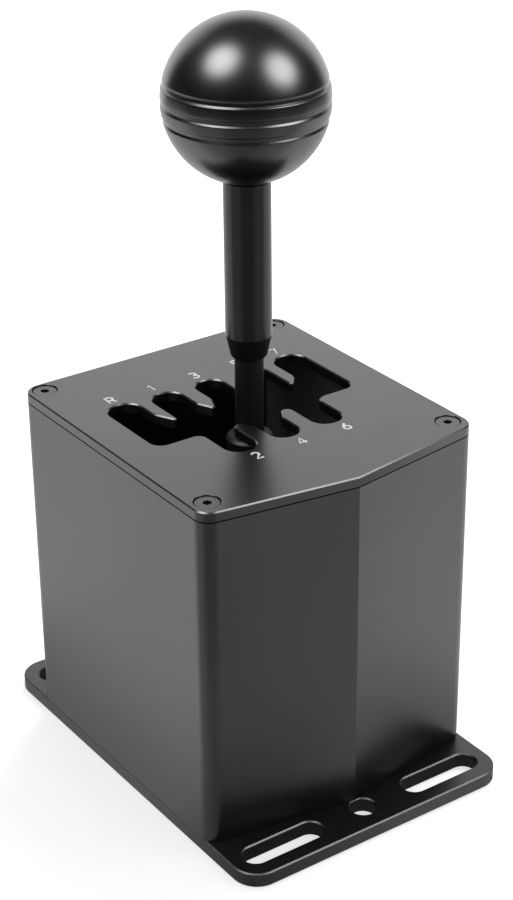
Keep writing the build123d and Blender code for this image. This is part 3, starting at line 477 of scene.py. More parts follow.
def base_material(name, colour, roughness, metallic=0.0, index=1.5):
    """A material whose Principled shader has its first values."""
    material = bpy.data.materials.new(name)
    material.use_nodes = True
    material.diffuse_color = colour
    values = {"Base Color": colour, "Roughness": roughness, "Metallic": metallic, "IOR": index}
    fill(material.node_tree.nodes["Principled BSDF"], values)
    return material


def tree_and_shader(material):
    """A material's nodes and its Principled shader."""
    return material.node_tree, material.node_tree.nodes["Principled BSDF"]


def set_roughness(tree, shader, middle, mask, spread):
    """Roughness that varies with a mask round its middle value."""
    fill(shader, {"Roughness": maths(tree, "MULTIPLY_ADD", mask, spread, middle)})


def set_colour(tree, shader, colour, mask, gain):
    """The colour lightened and darkened a little by a mask."""
    low = [max(0.0, part * (1 - gain)) for part in colour[:3]]
    high = [min(1.0, part * (1 + gain)) for part in colour[:3]]
    share = maths(tree, "ADD", mask, 0.5)
    fill(shader, {"Base Color": mixed(tree, share, (*low, 1), (*high, 1))})


def set_bump(tree, shader, height, distance, strength):
    """A bump from a height."""
    inputs = {"Strength": strength, "Distance": distance, "Height": height}
    fill(shader, {"Normal": add(tree, "ShaderNodeBump", inputs).outputs["Normal"]})


def paint_over(tree, shader, mask, colour):
    """The colour so far with another one over it where the mask is set."""
    so_far = shader.inputs["Base Color"].links[0].from_socket
    fill(shader, {"Base Color": mixed(tree, mask, so_far, colour)})


def dull_slants(tree, shader, extra):
    """More roughness on the slanted edges, which the cutter leaves duller than the faces."""
    normal = tree.nodes.new("ShaderNodeTexCoord").outputs["Normal"]
    lean = maths(tree, "ABSOLUTE", split(tree, normal)["Z"])
    from_wall = maths(tree, "GREATER_THAN", lean, SLANT_LIMITS[0])
    from_level = maths(tree, "LESS_THAN", lean, SLANT_LIMITS[1])
    so_far = shader.inputs["Roughness"].links[0].from_socket
    set_roughness(tree, shader, so_far, product(tree, from_wall, from_level), extra)


# Each slot's roughness, grain scale, stretch of the grain, tone of its marks, cloudiness, relief
# in millimetres, metallic value and refractive index
SURFACES = {
    "body_black": (0.3, 5200, 6, 0.12, 0.06, 0.02, 0, 2.0),
    "base_black": (0.36, 4200, 1, 0.1, 0.08, 0.01, 0, 2.0),
    "knob_black": (0.28, 4000, 1, 0.1, 0.08, 0.004, 0, 2.0),
    "rod_black": (0.5, 4000, 1, 0.15, 0.08, 0.006, 0, 1.5),
    "sleeve_black": (0.18, 4000, 1, 0.12, 0.08, 0.003, 0, 1.5),
    "collar_black": (0.6, 3000, 1, 0.1, 0.1, 0.02, 0, 1.35),
    "screw_black": (0.34, 5000, 1, 0.2, 0.15, 0.01, 0, 2.0),
    "screw_steel": (0.3, 4000, 1, 0.15, 0.15, 0.01, 1, 1.5),
    "bearing_steel": (0.16, 6000, 1, 0.08, 0.1, 0.004, 1, 1.5),
    "shaft_steel": (0.22, 6000, 1, 0.1, 0.1, 0.006, 1, 1.5),
    "spring_steel": (0.28, 5000, 1, 0.2, 0.15, 0.006, 1, 1.5),
    "bracket_aluminium": (0.34, 2600, 8, 0.15, 0.15, 0.01, 1, 1.5),
    "bush_bronze": (0.36, 6000, 1, 0.3, 0.15, 0.02, 1, 1.5),
    "magnet_nickel": (0.12, 6000, 1, 0.05, 0.08, 0.003, 1, 1.5),
    "circuit_board": (0.3, 1500, 1, 0.3, 0.1, 0.02, 0, 1.5),
    "chip_black": (0.55, 4000, 1, 0.2, 0.1, 0.02, 0, 1.5),
    "socket_white": (0.45, 3000, 1, 0.05, 0.1, 0.01, 0, 1.5),
    "usb_steel": (0.25, 5000, 1, 0.1, 0.1, 0.006, 1, 1.5),
    "print_white": (0.5, 9000, 1, 0.06, 0.1, 0.005, 0, 1.5),
}
# Slots that show rings from a lathe in place of grain
TURNED_SLOTS = ("knob_black", "rod_black", "sleeve_black")
GRAIN_STRENGTH = 0.5
RING_STRENGTH = 0.4
# The strip of painted shadow under the gate plate, and how far the inner walls lie inside the box
SEAM_SHADOW_REACH = 0.3 * MM
WALL_INSET = 1 * MM
WALL_HALF_DEPTH = 46 * MM
# Upward share of a slanted edge's normal, and its extra roughness
SLANT_LIMITS = (0.3, 0.9)
SLANT_DULLNESS = 0.12


def finish_materials(colours):
    """One material for each of the record's slots, and the print's."""
    grain = grain_group()
    turning = turning_group()
    made = {}
    for slot, values in SURFACES.items():
        roughness, scale, stretch, gain, cloudiness, relief, metallic, index = values
        colour = getattr(colours, slot)
        made[slot] = base_material(slot, colour, roughness, metallic, index)
        tree, shader = tree_and_shader(made[slot])
        look = put_group(tree, grain, Fine_Scale=scale, Stretch=stretch)
        marks, strength = look["Grain"], GRAIN_STRENGTH
        if slot in TURNED_SLOTS:
            marks = put_group(tree, turning, Centre_Y=lever_axis.y)["Rings"]
            strength = RING_STRENGTH
        set_roughness(tree, shader, roughness, look["Cloud"], cloudiness)
        set_colour(tree, shader, colour, marks, gain)
        set_bump(tree, shader, marks, relief * MM, strength)

    tree, shader = tree_and_shader(made["body_black"])
    # Painted shadow: the strip under the gate plate is made black, with no reflection, as the
    # seam's shade
    seam = put_group(tree, seam_shadow_group(), Height=gate_low.z, Reach=SEAM_SHADOW_REACH)["Mask"]
    fill(shader, {"Metallic": seam})
    # Painted light: the walls inside the housing get a lighter colour, as if lit through the lanes
    half_width = gate_high.x - WALL_INSET
    walls = put_group(tree, painted_inner_light_group(), Half_Width=half_width, Half_Depth=WALL_HALF_DEPTH)
    paint_over(tree, shader, walls["Mask"], colours.inner_walls)
    # Painted shadow under the gate plate
    paint_over(tree, shader, seam, BLACK)
    dull_slants(*tree_and_shader(made["base_black"]), SLANT_DULLNESS)
    return made


finishes_made = {}


def finish(slot):
    """The material of a slot, made with all others when the first is asked for."""
    if not finishes_made:
        finishes_made.update(finish_materials(bpy.context.scene.shifter_finishes))
    return finishes_made[slot]


# Fine trims and flats of the machined pieces
SCREW_CLEARANCE = 0.05 * MM
RECESS_ROUND = 0.2 * MM
HEAD_ROUND = 0.25 * MM
TIP_SLANT = 0.3 * MM
COLLAR_ROUND = 0.1 * MM
RECESS_STEPS = 40
HEAD_STEPS = 48
# How much of half a lane's width the corners at its ends round off
END_SHARE = 0.96


# The pieces
class SHIFTER_OT_finishes(Operator):
    """Gives every CAD part its finish"""

    bl_idname = "shifter.finishes"
    bl_label = "CAD part finishes"

    def execute(self, context):
        slots = {part["node"]: part["material_slot"] for part in frame["record"]["subparts"]}
        for name, part in frame["nodes"].items():
            material = finish(slots[name])
            if not part.material_slots:
                part.data.materials.append(material)
            for place in part.material_slots:
                place.material = material
        return {"FINISHED"}


def gate_corners(sizes):
    """The corners of the gate's opening, clockwise, with their radii."""
    rod = (rod_high.x - rod_low.x) / 2
    outer_pitch = sizes.lane_pitch + sizes.outer_step
    centre = rod + sizes.centre_side
    inner_left = sizes.lane_pitch - rod - sizes.lane_side
    inner_right = sizes.lane_pitch + rod + sizes.lane_side
    outer_left = outer_pitch - rod - sizes.outer_side
    outer_right = outer_pitch + rod + sizes.outer_side
    top = sizes.reach_forward
    bottom = -sizes.reach_back
    floor = -sizes.outer_floor
    tip = sizes.upper_tip
    point = (centre + inner_left) / 2
    centre_end = END_SHARE * centre
    inner_end = END_SHARE * (inner_right - inner_left) / 2
    outer_end = END_SHARE * (outer_right - outer_left) / 2

    def half(slope, bend):
        """One half of the opening, clockwise from the middle lane's far end."""
        return [
            (centre, top, centre_end),
            (centre, tip + sizes.point_slope, sizes.funnel_round),
            (point - sizes.point_width / 2, tip, sizes.point_round),
            (point + sizes.point_width / 2, tip, sizes.point_round),
            (inner_left, tip + sizes.point_slope, sizes.funnel_round),
            (inner_left, top, inner_end),
            (inner_right, top, inner_end),
            (inner_right, tip, sizes.upper_round),
            (inner_right + sizes.upper_width, tip, sizes.upper_round),
            (outer_left, tip + slope, bend),
            (outer_left, sizes.reach_outer, outer_end),
            (outer_right, sizes.reach_outer, outer_end),
            (outer_right, floor, sizes.floor_round),
            (inner_right, floor, sizes.shoulder_round),
            (inner_right, bottom, inner_end),
            (inner_left, bottom, inner_end),
            (inner_left, -sizes.lower_tip, sizes.lower_round),
            (inner_left - sizes.lower_width, -sizes.lower_tip, sizes.lower_inner),
            (centre, -sizes.lower_tip - sizes.funnel, sizes.funnel_round),
            (centre, bottom, centre_end),
        ]

    right = half(sizes.right_slope, sizes.right_bend)
    left = half(sizes.left_slope, sizes.left_bend)
    left = [(-x, y, radius) for x, y, radius in reversed(left)]
    return [(x, y + lever_axis.y, radius) for x, y, radius in right + left]


def plate_outline(sizes):
    """The plate's outline, anticlockwise, with its shallow V front."""
    side, back = gate_high.x, gate_high.y
    front = gate_low.y + sizes.peak
    turn = sizes.corner_round
    left = [(-side, back, turn), (-side, front, turn)]
    return [*left, (0, gate_low.y, 0), (side, front, turn), (side, back, turn)]


def screw_places(sizes):
    """The places of the gate plate's four screws."""
    front = gate_low.y + sizes.peak + sizes.screw_front
    back = gate_high.y - sizes.screw_back
    return [(side * (gate_high.x - sizes.screw_side), y) for side in (-1, 1) for y in (front, back)]


class SHIFTER_OT_gate_plate(Operator):
    """Builds the gate plate with its slanted edges, lanes and screw recesses"""

    bl_idname = "shifter.gate_plate"
    bl_label = "Gate plate"

    def execute(self, context):
        sizes = context.scene.shifter_gate
        top, bottom = gate_high.z, gate_low.z
        rim = edge_profile(sizes.edge_break, top, True, 1)
        seam = edge_profile(sizes.seam_round, bottom, False)
        loops = [
            (rounded(plate_outline(sizes)), rim + seam, False),
            (rounded(gate_corners(sizes)), rim + [(0, bottom)], False),
        ]
        shank = sizes.screw_radius + SCREW_CLEARANCE - sizes.recess_radius
        floor = top - sizes.recess_depth
        recess = edge_profile(RECESS_ROUND, top, True)
        recess += [(0, floor), (shank, floor), (shank, bottom)]
        for place in screw_places(sizes):
            hole = circle(place, sizes.recess_radius, RECESS_STEPS)[::-1]
            loops.append((hole, recess, False))
        shape = solid_from(loops)
        crease(shape)
        piece = new_piece("gate_plate_machined", shape, finish("body_black"))
        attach(piece, "housing")
        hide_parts("gate_plate")
        return {"FINISHED"}


def arc(centre, radii, start, end, count=12):
    """Points along an arc, angles in degrees."""
    angles = [math.radians(start + (end - start) * index / count) for index in range(count + 1)]
    (x, y), (wide, high) = centre, radii
    return [(x + wide * math.cos(angle), y + high * math.sin(angle)) for angle in angles]


# Each character's strokes in a box one unit high
CHARACTERS = {
    "R": [
        [(0.0, 0.0), (0.0, 1.0), (0.3, 1.0)]
        + arc((0.3, 0.73), (0.28, 0.27), 90, -90)
        + [(0.3, 0.46), (0.0, 0.46)],
        [(0.3, 0.46), (0.6, 0.0)],
    ],
    "1": [[(0.08, 0.76), (0.34, 1.0), (0.34, 0.0)]],
    "2": [arc((0.3, 0.71), (0.27, 0.29), 165, -35) + [(0.02, 0.0), (0.6, 0.0)]],
    "3": [
        arc((0.29, 0.74), (0.25, 0.26), 150, -90) + [(0.2, 0.48)],
        [(0.2, 0.52)] + arc((0.29, 0.26), (0.29, 0.26), 90, -155),
    ],
    "4": [[(0.48, 0.0), (0.48, 1.0), (0.0, 0.26), (0.68, 0.26)]],
    "5": [[(0.54, 1.0), (0.12, 1.0), (0.06, 0.54)] + arc((0.28, 0.31), (0.3, 0.31), 128, -155)],
    "6": [
        arc((0.31, 0.29), (0.29, 0.29), 0, 360, 20),
        [(0.5, 1.0), (0.26, 0.74), (0.1, 0.5), (0.02, 0.31)],
    ],
    "7": [[(0.0, 1.0), (0.6, 1.0), (0.2, 0.0)]],
}
CHARACTER_WIDTH = 0.62
# How far some characters are printed to the right of their lane
CHARACTER_SHIFTS = {"R": 0.35 * MM, "4": 0.1 * MM, "6": 0.8 * MM, "7": 0.15 * MM}
# Points of a stroke closer than this are one
MERGE_DISTANCE = 1e-7


def ribbon(strokes, width, rise):
    """A flat raised line along each stroke, as one bmesh."""
    line = bpy.data.curves.new("stroke", "CURVE")
    line.dimensions = "3D"
    line.bevel_depth = width / 2
    line.bevel_resolution = 2
    line.use_fill_caps = True
    for stroke in strokes:
        spline = line.splines.new("POLY")
        spline.points.add(len(stroke) - 1)
        for point, (x, y) in zip(spline.points, stroke):
            point.co = (x, y, 0, 1)
    holder = bpy.data.objects.new("stroke", line)
    mesh = bpy.data.meshes.new_from_object(holder)
    bpy.data.objects.remove(holder)
    bpy.data.curves.remove(line)
    shape = bmesh.new()
    shape.from_mesh(mesh)
    bpy.data.meshes.remove(mesh)
    bmesh.ops.remove_doubles(shape, verts=shape.verts, dist=MERGE_DISTANCE)
    for vert in shape.verts:
        vert.co.z *= 2 * rise / width
    bmesh.ops.recalc_face_normals(shape, faces=shape.faces)
    return shape


class SHIFTER_OT_characters(Operator):
    """Prints the gear characters beside the lanes"""

    bl_idname = "shifter.characters"
    bl_label = "Gear characters"

    def execute(self, context):
        sizes = context.scene.shifter_gate
        inner = sizes.lane_pitch
        outer = inner + sizes.outer_step
        far = lever_axis.y + sizes.far_row
        near = lever_axis.y - sizes.near_row
        lanes = {"R": -outer, "1": -inner, "3": 0, "5": inner, "7": outer}
        places = [(character, x, far) for character, x in lanes.items()]
        places += [("2", -inner, near), ("4", 0, near), ("6", inner, near)]
        height = sizes.letter_height - sizes.letter_stroke
        for character, x, y in places:
            left = x + CHARACTER_SHIFTS.get(character, 0) - CHARACTER_WIDTH / 2 * height
            low = y - height / 2
            strokes = [
                [(left + u * height, low + v * height) for u, v in stroke]
                for stroke in CHARACTERS[character]
            ]
            shape = ribbon(strokes, sizes.letter_stroke, sizes.letter_rise)
            bmesh.ops.translate(shape, verts=shape.verts, vec=UP * gate_high.z)
            for face in shape.faces:
                face.smooth = True
            piece = new_piece("character_" + character, shape, finish("print_white"))
            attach(piece, "housing")
        return {"FINISHED"}


def keyed_screw(sizes, radius, outline, top):
    """A screw of an outline, with a hexagon socket in the top of its head."""
    key = circle((0, 0), sizes.key_radius / math.cos(math.pi / 6), 6)[::-1]
    socket = [(0, top), (0, top - sizes.key_depth)]
    head = circle((0, 0), radius, HEAD_STEPS)
    shape = solid_from([(head, outline, False), (key, socket, True)])
    crease(shape)
    return shape


def socket_screw(sizes):
    """A low head screw, its head's underside at the origin."""
    inset = sizes.head_radius - sizes.screw_radius
    outline = edge_profile(HEAD_ROUND, sizes.head_height, True) + [
        (0, 0),
        (inset, 0),
        (inset, TIP_SLANT - sizes.screw_length),
        (inset + TIP_SLANT, -sizes.screw_length),
    ]
    return keyed_screw(sizes, sizes.head_radius, outline, sizes.head_height)


def countersunk_screw(sizes, long):
    """A countersunk screw, its head's flat at the origin, pointing up."""
    slope = sizes.base_head_radius - sizes.screw_radius
    outline = [(0, 0), (slope, -slope), (slope, -long)]
    shape = keyed_screw(sizes, sizes.base_head_radius, outline, 0)
    bmesh.ops.rotate(shape, verts=shape.verts, matrix=Matrix.Rotation(math.pi, 3, "X"))
    return shape


def repeat_group(name, template):
    """Geometry nodes that put copies of a template on a grid of four places."""
    tree = bpy.data.node_groups.new(name, "GeometryNodeTree")
    face = tree.interface
    face.new_socket("Geometry", in_out="INPUT", socket_type="NodeSocketGeometry")
    for label in ("Width", "Depth", "Centre Y", "Height"):
        socket = face.new_socket(label, in_out="INPUT", socket_type="NodeSocketFloat")
        socket.subtype = "DISTANCE"
    face.new_socket("Finish", in_out="INPUT", socket_type="NodeSocketMaterial")
    face.new_socket("Geometry", in_out="OUTPUT", socket_type="NodeSocketGeometry")
    given = tree.nodes.new("NodeGroupInput").outputs

    def step(kind, **inputs):
        """The outputs of a node with the given inputs."""
        named = {label.replace("_", " "): value for label, value in inputs.items()}
        return add(tree, "GeometryNode" + kind, named).outputs

    width, depth = given["Width"], given["Depth"]
    grid = step("MeshGrid", Vertices_X=2, Vertices_Y=2, Size_X=width, Size_Y=depth)
    centre = add(tree, "ShaderNodeCombineXYZ", {"Y": given["Centre Y"], "Z": given["Height"]})
    points = step("Transform", Geometry=grid["Mesh"], Translation=centre.outputs[0])
    source = step("ObjectInfo", Object=template)
    copies = step("InstanceOnPoints", Points=points["Geometry"], Instance=source["Geometry"])
    real = step("RealizeInstances", Geometry=copies["Instances"])
    coat = step("SetMaterial", Geometry=real["Geometry"], Material=given["Finish"])
    add(tree, "NodeGroupOutput", {"Geometry": coat["Geometry"]})
    return tree


def repeated(name, shape, values, material):
    """A plain mesh object of the shape repeated on the grid that the values give."""
    template = new_piece("template", shape, material)
    tree = repeat_group(name + " grid", template)
    holder = bpy.data.objects.new(name, bpy.data.meshes.new(name + " start"))
    bpy.context.scene.collection.objects.link(holder)
    modifier = holder.modifiers.new("Grid", "NODES")
    modifier.node_group = tree
    wanted = dict(values, Finish=material)
    for socket in tree.interface.items_tree:
        if socket.in_out == "INPUT" and socket.name in wanted:
            modifier[socket.identifier] = wanted[socket.name]
    context = bpy.context.evaluated_depsgraph_get()
    mesh = bpy.data.meshes.new_from_object(holder.evaluated_get(context))
    mesh.name = name
    holder.modifiers.remove(modifier)
    spent = (holder.data, template.data)
    holder.data = mesh
    bpy.data.objects.remove(template)
    for old in spent:
        bpy.data.meshes.remove(old)
    bpy.data.node_groups.remove(tree)
    return holder


class SHIFTER_OT_gate_screws(Operator):
    """Puts a socket screw in each corner of the gate plate"""

    bl_idname = "shifter.gate_screws"
    bl_label = "Gate plate screws"

    def execute(self, context):
        sizes = context.scene.shifter_gate
        places = screw_places(sizes)
        front, back = places[0][1], places[1][1]
        values = {
            "Width": 2 * places[-1][0],
            "Depth": back - front,
            "Centre Y": (back + front) / 2,
            "Height": gate_high.z - sizes.recess_depth,
        }
        material = finish("screw_black")
        piece = repeated("gate_socket_screws", socket_screw(sizes), values, material)
        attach(piece, "housing")
        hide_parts("gate_plate_screws")
        return {"FINISHED"}


class SHIFTER_OT_base_screws(Operator):
    """Puts the countersunk screws into the base plate from below"""

    bl_idname = "shifter.base_screws"
    bl_label = "Base plate screws"

    def execute(self, context):
        sizes = context.scene.shifter_gate
        head = 2 * sizes.base_head_radius
        for node in ("housing_screws", "bracket_screws"):
            low, high = node_box(node)
            values = {
                "Width": high.x - low.x - head,
                "Depth": high.y - low.y - head,
                "Centre Y": (low.y + high.y) / 2,
                "Height": low.z,
            }
            shape = countersunk_screw(sizes, high.z - low.z)
            piece = repeated(node + "_countersunk", shape, values, finish("screw_black"))
            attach(piece, "housing")
            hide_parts(node)
        return {"FINISHED"}


# Heights of the knob's grooves, as shares of its radius, from the lowest up
GROOVE_SHARES = (-0.205, -0.003, 0.214)
BALL_STEP = math.radians(2.5)


def knob_outline(sizes):
    """The ball's outline from its bore round to its top, as (radius, height, rounding)."""
    radius = (knob_high.x - knob_low.x) / 2
    middle = knob_high.z - radius

    def spot(reach, angle, across=0.0):
        """A point at an angle above the ball's middle, moved across that direction."""
        outward = Vector((math.cos(angle), math.sin(angle)))
        place = outward * reach + Vector((-outward.y, outward.x)) * across
        return place.x, middle + place.y

    def ball(first, last, first_round, last_round):
        """Points along the ball's own surface, its two ends rounded."""
        count = max(2, math.ceil((last - first) / BALL_STEP))
        points = []
        for index in range(count + 1):
            rounding = {0: first_round, count: last_round}.get(index, 0)
            points.append((*spot(radius, first + (last - first) * index / count), rounding))
        return points

    roof = knob_low.z + sizes.insert_depth
    outline = [(0, roof, 0), (sizes.insert_radius, roof, 0), (sizes.insert_radius, knob_low.z, 0)]
    start = -math.asin((middle - knob_low.z) / radius)
    start_round = 0
    half = sizes.groove_width / 2 / radius
    bottom = radius - sizes.groove_depth
    for share_of_radius in GROOVE_SHARES:
        tilt = math.asin(share_of_radius)
        outline += ball(start, tilt - half, start_round, sizes.groove_lip)
        for side in (-1, 1):
            place = spot(bottom, tilt, side * sizes.groove_floor / 2)
            outline.append((*place, sizes.groove_root))
        start = tilt + half
        start_round = sizes.groove_lip
    outline += ball(start, math.pi / 2, start_round, 0)
    outline[-1] = (0, middle + radius, 0)
    return outline


class SHIFTER_OT_knob(Operator):
    """Turns the ball knob with its three grooves"""

    bl_idname = "shifter.knob"
    bl_label = "Knob"

    def execute(self, context):
        sizes = context.scene.shifter_lever
        profile = rounded(knob_outline(sizes), closed=False)
        shape = turned(profile, lever_axis, sizes.knob_steps, False)
        crease(shape)
        piece = new_piece("knob_turned", shape, finish("knob_black"))
        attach(piece, "lever")
        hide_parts("knob")
        return {"FINISHED"}


class SHIFTER_OT_grip(Operator):
    """Turns the tapered collar and the grip sleeve"""

    bl_idname = "shifter.grip"
    bl_label = "Collar and sleeve"

    def execute(self, context):
        sizes = context.scene.shifter_lever
        bore = sizes.bore_radius
        top = (collar_high.x - collar_low.x) / 2
        collar = [
            (bore, collar_low.z, 0),
            (sizes.lip_radius, collar_low.z, sizes.lip_round),
            (top, collar_high.z, COLLAR_ROUND),
            (bore, collar_high.z, 0),
        ]
        wide = (sleeve_high.x - sleeve_low.x) / 2
        sleeve = [
            (bore, sleeve_low.z, 0),
            (wide, sleeve_low.z, sizes.sleeve_round),
            (wide, sleeve_high.z, sizes.sleeve_round),
            (bore, sleeve_high.z, 0),
        ]
        for name, node, slot, outline in (
            ("collar_moulded", "lever_collar", "collar_black", collar),
            ("sleeve_turned", "grip_sleeve", "sleeve_black", sleeve),
        ):
            shape = turned(rounded(outline), lever_axis, sizes.rod_steps, True)
            crease(shape)
            piece = new_piece(name, shape, finish(slot))
            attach(piece, "lever")
            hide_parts(node)
        return {"FINISHED"}


# The stage
CAMERA_PLACE = Vector((-0.3257, -0.4739, 0.3956))
CAMERA_AHEAD = Vector((0.5093, 0.7328, -0.4512))
CAMERA_RIGHT = Vector((0.8185, -0.5745, -0.0093))
CAMERA_LENS = 82.17
CAMERA_SENSOR = 36
CAMERA_CLIP = 0.01
# Direction and radiance of each soft box that shows as a highlight on the knob
SOFT_BOXES = (
    ((-0.528, 0.058, 0.853), 7.6),
    ((0.415, -0.65, 0.679), 6.9),
)
# The glow is even inside the core and ends at the reach
SOFT_BOX_CORE = math.radians(9)
SOFT_BOX_REACH = math.radians(27)
# The soft boxes show up to this ray depth, which is in first reflections alone
SOFT_BOX_DEPTH = 2.5
FILL_WAY = (0.55, 0.25, 0.8)
FILL_DISTANCE = 1.8
FILL_SIZE = 0.9
FILL_LEVEL = 1.3
# The fill's aim, as a share of the knob's height
FILL_AIM = 0.8
SKY_LEVEL = 0.55
BACKDROP_LEVEL = 1.45
# The floor's gap under the base plate, the shortest ray that sees it, half its side and its finish
FLOOR_GAP = 0.05 * MM
FLOOR_TOUCH = 10 * FLOOR_GAP
FLOOR_REACH = 4
FLOOR_ROUGHNESS = 0.9
# Smooth steps of the floor's glow, which paints its shade in gloss: two distances in metres, then
# the levels there
TABLE_NEAR = (0.045, 0.09, 1.0, 0.46)
TABLE_END = (0.7, 1.2, 1.0, 0.2)
WEDGE_LEVEL = (0.1, 0.22, 0.9, 0.45)
BACKDROP_FOOT = (0.5, 1.0, 1.0, BACKDROP_LEVEL)
PLATE_EDGE = (-2 * MM, 0, 0.1, 0.5)
PLATE_SHADE = (0, 60 * MM, 1.0, 2.0)
SEEN_LIFT = (0.1, 0.6, 0.58, 1.0)
# The same by direction: shares of the distance that lie towards or away from the camera
WEDGE_SIDES = (0.75, 0.95, 0.0, 1.0)
BACKDROP_SIDES = (0.57, 0.78, 0.0, 1.0)
# The same in the room, by how steeply the direction rises
BACKDROP_TOP = (0.5, 0.72, 1.0, 0.0)
BACKDROP_FADE = (0.4, 0.46, BACKDROP_LEVEL, 1.0)
ROOM_LEVEL = (0.2, 1.0, 0.03, 0.1)


def ramp(tree, value, low, high, from_level, to_level):
    """A smooth step of a value between two limits."""
    limits = {"From Min": low, "From Max": high, "To Min": from_level, "To Max": to_level}
    inputs = {"Value": value, **limits}
    step = add(tree, "ShaderNodeMapRange", inputs, interpolation_type="SMOOTHSTEP")
    return step.outputs["Result"]


def along(tree, parts, way):
    """How far a place or direction reaches along a level direction."""
    across = product(tree, parts["Y"], way.y)
    return maths(tree, "MULTIPLY_ADD", parts["X"], way.x, across)


def blend(tree, share, first, second):
    """The first number, turning into the second as the share rises."""
    return maths(tree, "MULTIPLY_ADD", share, maths(tree, "SUBTRACT", second, first), first)


def level_ahead():
    """The camera's direction without its tilt."""
    return Vector((CAMERA_AHEAD.x, CAMERA_AHEAD.y)).normalized()


def floor_material(colour):
    """A pale floor: white to the camera with a soft shadow; in gloss a glow with painted shade,
    darker near the base plate and towards the camera.
    """
    material = base_material("floor_white", colour, FLOOR_ROUGHNESS)
    tree, shader = tree_and_shader(material)
    place, parts = object_place(tree)
    distance = add(tree, "ShaderNodeVectorMath", {0: place}, operation="LENGTH").outputs["Value"]
    forward = along(tree, parts, level_ahead())
    toward = product(tree, forward, -1)
    wedge = ramp(tree, maths(tree, "DIVIDE", toward, distance), *WEDGE_SIDES)
    behind = ramp(tree, maths(tree, "DIVIDE", forward, distance), *BACKDROP_SIDES)
    behind = product(tree, behind, ramp(tree, distance, *BACKDROP_FOOT))
    gaps = []
    for axis, side in (("X", base_high.x), ("Y", base_high.y)):
        gaps.append(maths(tree, "SUBTRACT", maths(tree, "ABSOLUTE", parts[axis]), side))
    gap = maths(tree, "MAXIMUM", *gaps)
    # Painted shade in gloss: the floor's glow is dimmer under and beside the base plate and towards
    # the camera
    painted_floor_shade = product(
        tree,
        ramp(tree, toward, *TABLE_NEAR),
        blend(tree, wedge, 1.0, ramp(tree, toward, *WEDGE_LEVEL)),
        maths(tree, "MAXIMUM", ramp(tree, distance, *TABLE_END), behind),
        ramp(tree, gap, *PLATE_EDGE),
        ramp(tree, gap, *PLATE_SHADE),
    )
    ray = tree.nodes.new("ShaderNodeLightPath").outputs
    gloss = ray["Is Glossy Ray"]
    lit = product(tree, ray["Is Camera Ray"], ramp(tree, distance, *SEEN_LIFT))
    fill(shader, {"Specular IOR Level": 0, "Base Color": mixed(tree, gloss, colour, BLACK)})
    level = blend(tree, gloss, lit, painted_floor_shade)
    fill(shader, {"Emission Color": WHITE, "Emission Strength": level})
    # Clear from below and to the shortest rays, so that the underside can be looked at
    below = tree.nodes.new("ShaderNodeNewGeometry").outputs["Backfacing"]
    touching = maths(tree, "LESS_THAN", ray["Ray Length"], FLOOR_TOUCH)
    hidden = maths(tree, "MAXIMUM", below, touching)
    clear = tree.nodes.new("ShaderNodeBsdfTransparent")
    both = add(tree, "ShaderNodeMixShader", {0: hidden, 1: shader.outputs[0], 2: clear.outputs[0]})
    fill(tree.nodes["Material Output"], {"Surface": both.outputs[0]})
    return material


def studio_world():
    """A white backdrop behind the object in a dim room, as gloss shows it, and a plain sky."""
    world = bpy.data.worlds.new("studio")
    world.use_nodes = True
    tree = world.node_tree
    place = tree.nodes.new("ShaderNodeTexCoord").outputs["Generated"]
    parts = split(tree, place)
    height = parts["Z"]
    # Just over 1, so that the share of a direction straight up isn't divided by zero
    rest = maths(tree, "SUBTRACT", 1.0001, maths(tree, "POWER", height, 2))
    depth = along(tree, parts, level_ahead())
    behind = ramp(tree, maths(tree, "DIVIDE", depth, maths(tree, "SQRT", rest)), *BACKDROP_SIDES)
    backdrop = product(tree, behind, ramp(tree, height, *BACKDROP_TOP))
    room = ramp(tree, height, *ROOM_LEVEL)
    gloss = blend(tree, backdrop, room, ramp(tree, height, *BACKDROP_FADE))
    ray = tree.nodes.new("ShaderNodeLightPath").outputs
    direct = maths(tree, "LESS_THAN", ray["Ray Depth"], SOFT_BOX_DEPTH)
    for way, radiance in SOFT_BOXES:
        inputs = {0: place, 1: Vector(way).normalized()}
        near = add(tree, "ShaderNodeVectorMath", inputs, operation="DOT_PRODUCT")
        away = maths(tree, "ARCCOSINE", near.outputs["Value"])
        glow = ramp(tree, away, SOFT_BOX_CORE, SOFT_BOX_REACH, radiance, 0)
        gloss = maths(tree, "MULTIPLY_ADD", glow, direct, gloss)
    level = blend(tree, ray["Is Glossy Ray"], SKY_LEVEL, gloss)
    level = maths(tree, "MAXIMUM", level, ray["Is Camera Ray"])
    fill(tree.nodes["Background"], {"Color": WHITE, "Strength": level})
    return world


def put_fill_lamp():
    """A square lamp above the object, which shows in no view and no gloss."""
    lamp = bpy.data.lights.new("fill", "AREA")
    lamp.shape = "SQUARE"
    lamp.size = FILL_SIZE
    # The light on the object stays the same when the distance changes
    lamp.energy = 4 * FILL_DISTANCE**2 * FILL_LEVEL
    holder = bpy.data.objects.new("fill", lamp)
    aim = Vector((lever_axis.x, lever_axis.y, knob_high.z * FILL_AIM))
    way = Vector(FILL_WAY).normalized()
    turn = way.to_track_quat("Z", "Y").to_matrix().to_4x4()
    holder.matrix_world = Matrix.Translation(aim + way * FILL_DISTANCE) @ turn
    holder.visible_camera = False
    holder.visible_glossy = False
    bpy.context.scene.collection.objects.link(holder)


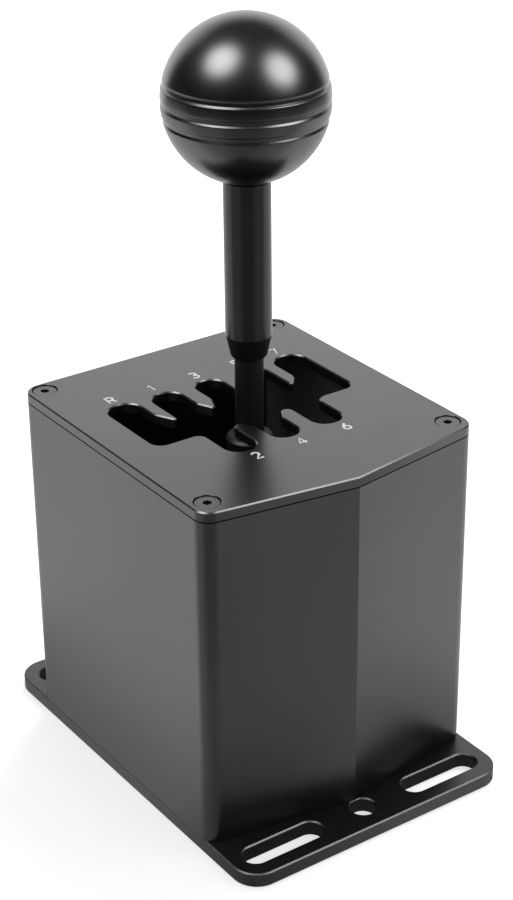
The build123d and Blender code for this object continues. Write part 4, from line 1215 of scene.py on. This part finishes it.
class SHIFTER_OT_stage(Operator):
    """Sets the camera, floor, world and fill light"""

    bl_idname = "shifter.stage"
    bl_label = "Stage"

    def execute(self, context):
        scene = context.scene
        lens = bpy.data.cameras.new("camera")
        lens.lens = CAMERA_LENS
        lens.sensor_width = CAMERA_SENSOR
        lens.clip_start = CAMERA_CLIP
        camera = bpy.data.objects.new("camera", lens)
        ahead = CAMERA_AHEAD.normalized()
        right = (CAMERA_RIGHT - ahead * CAMERA_RIGHT.dot(ahead)).normalized()
        above = right.cross(ahead)
        turn = Matrix((right, above, -ahead)).transposed().to_4x4()
        camera.matrix_world = Matrix.Translation(CAMERA_PLACE) @ turn
        scene.collection.objects.link(camera)
        scene.camera = camera

        shape = bmesh.new()
        bmesh.ops.create_grid(shape, x_segments=1, y_segments=1, size=FLOOR_REACH)
        bmesh.ops.translate(shape, verts=shape.verts, vec=UP * -FLOOR_GAP)
        floor = new_piece("floor", shape, floor_material(scene.shifter_finishes.floor))

        scene.world = studio_world()
        put_fill_lamp()
        scene.view_settings.view_transform = "Standard"
        return {"FINISHED"}


class SHIFTER_PT_panel(Panel):
    """Lists the pieces and the stage"""

    bl_label = "Gear shifter"
    bl_idname = "SHIFTER_PT_panel"
    bl_space_type = "VIEW_3D"
    bl_region_type = "UI"
    bl_category = "Shifter"

    def draw(self, context):
        for operator in OPERATORS:
            self.layout.operator(operator.bl_idname)
        for owner in GROUPS:
            group = getattr(context.scene, owner)
            box = self.layout.box()
            for name in group.__annotations__:
                box.prop(group, name)


OPERATORS = (
    SHIFTER_OT_stage,
    SHIFTER_OT_finishes,
    SHIFTER_OT_gate_plate,
    SHIFTER_OT_characters,
    SHIFTER_OT_gate_screws,
    SHIFTER_OT_base_screws,
    SHIFTER_OT_knob,
    SHIFTER_OT_grip,
)
GROUPS = {"shifter_gate": GateSizes, "shifter_lever": LeverSizes, "shifter_finishes": Finishes}
CLASSES = (*GROUPS.values(), *OPERATORS, SHIFTER_PT_panel)


def register():
    """Makes the add-on's classes and the scene's settings known."""
    for item in CLASSES:
        bpy.utils.register_class(item)
    for owner, group in GROUPS.items():
        setattr(bpy.types.Scene, owner, PointerProperty(type=group))


def unregister():
    """Takes the settings and the classes away again."""
    for owner in GROUPS:
        delattr(bpy.types.Scene, owner)
    for item in reversed(CLASSES):
        bpy.utils.unregister_class(item)


def main():
    register()
    for operator in OPERATORS:
        family, name = operator.bl_idname.split(".")
        getattr(getattr(bpy.ops, family), name)()


if __name__ == "__main__":
    main()
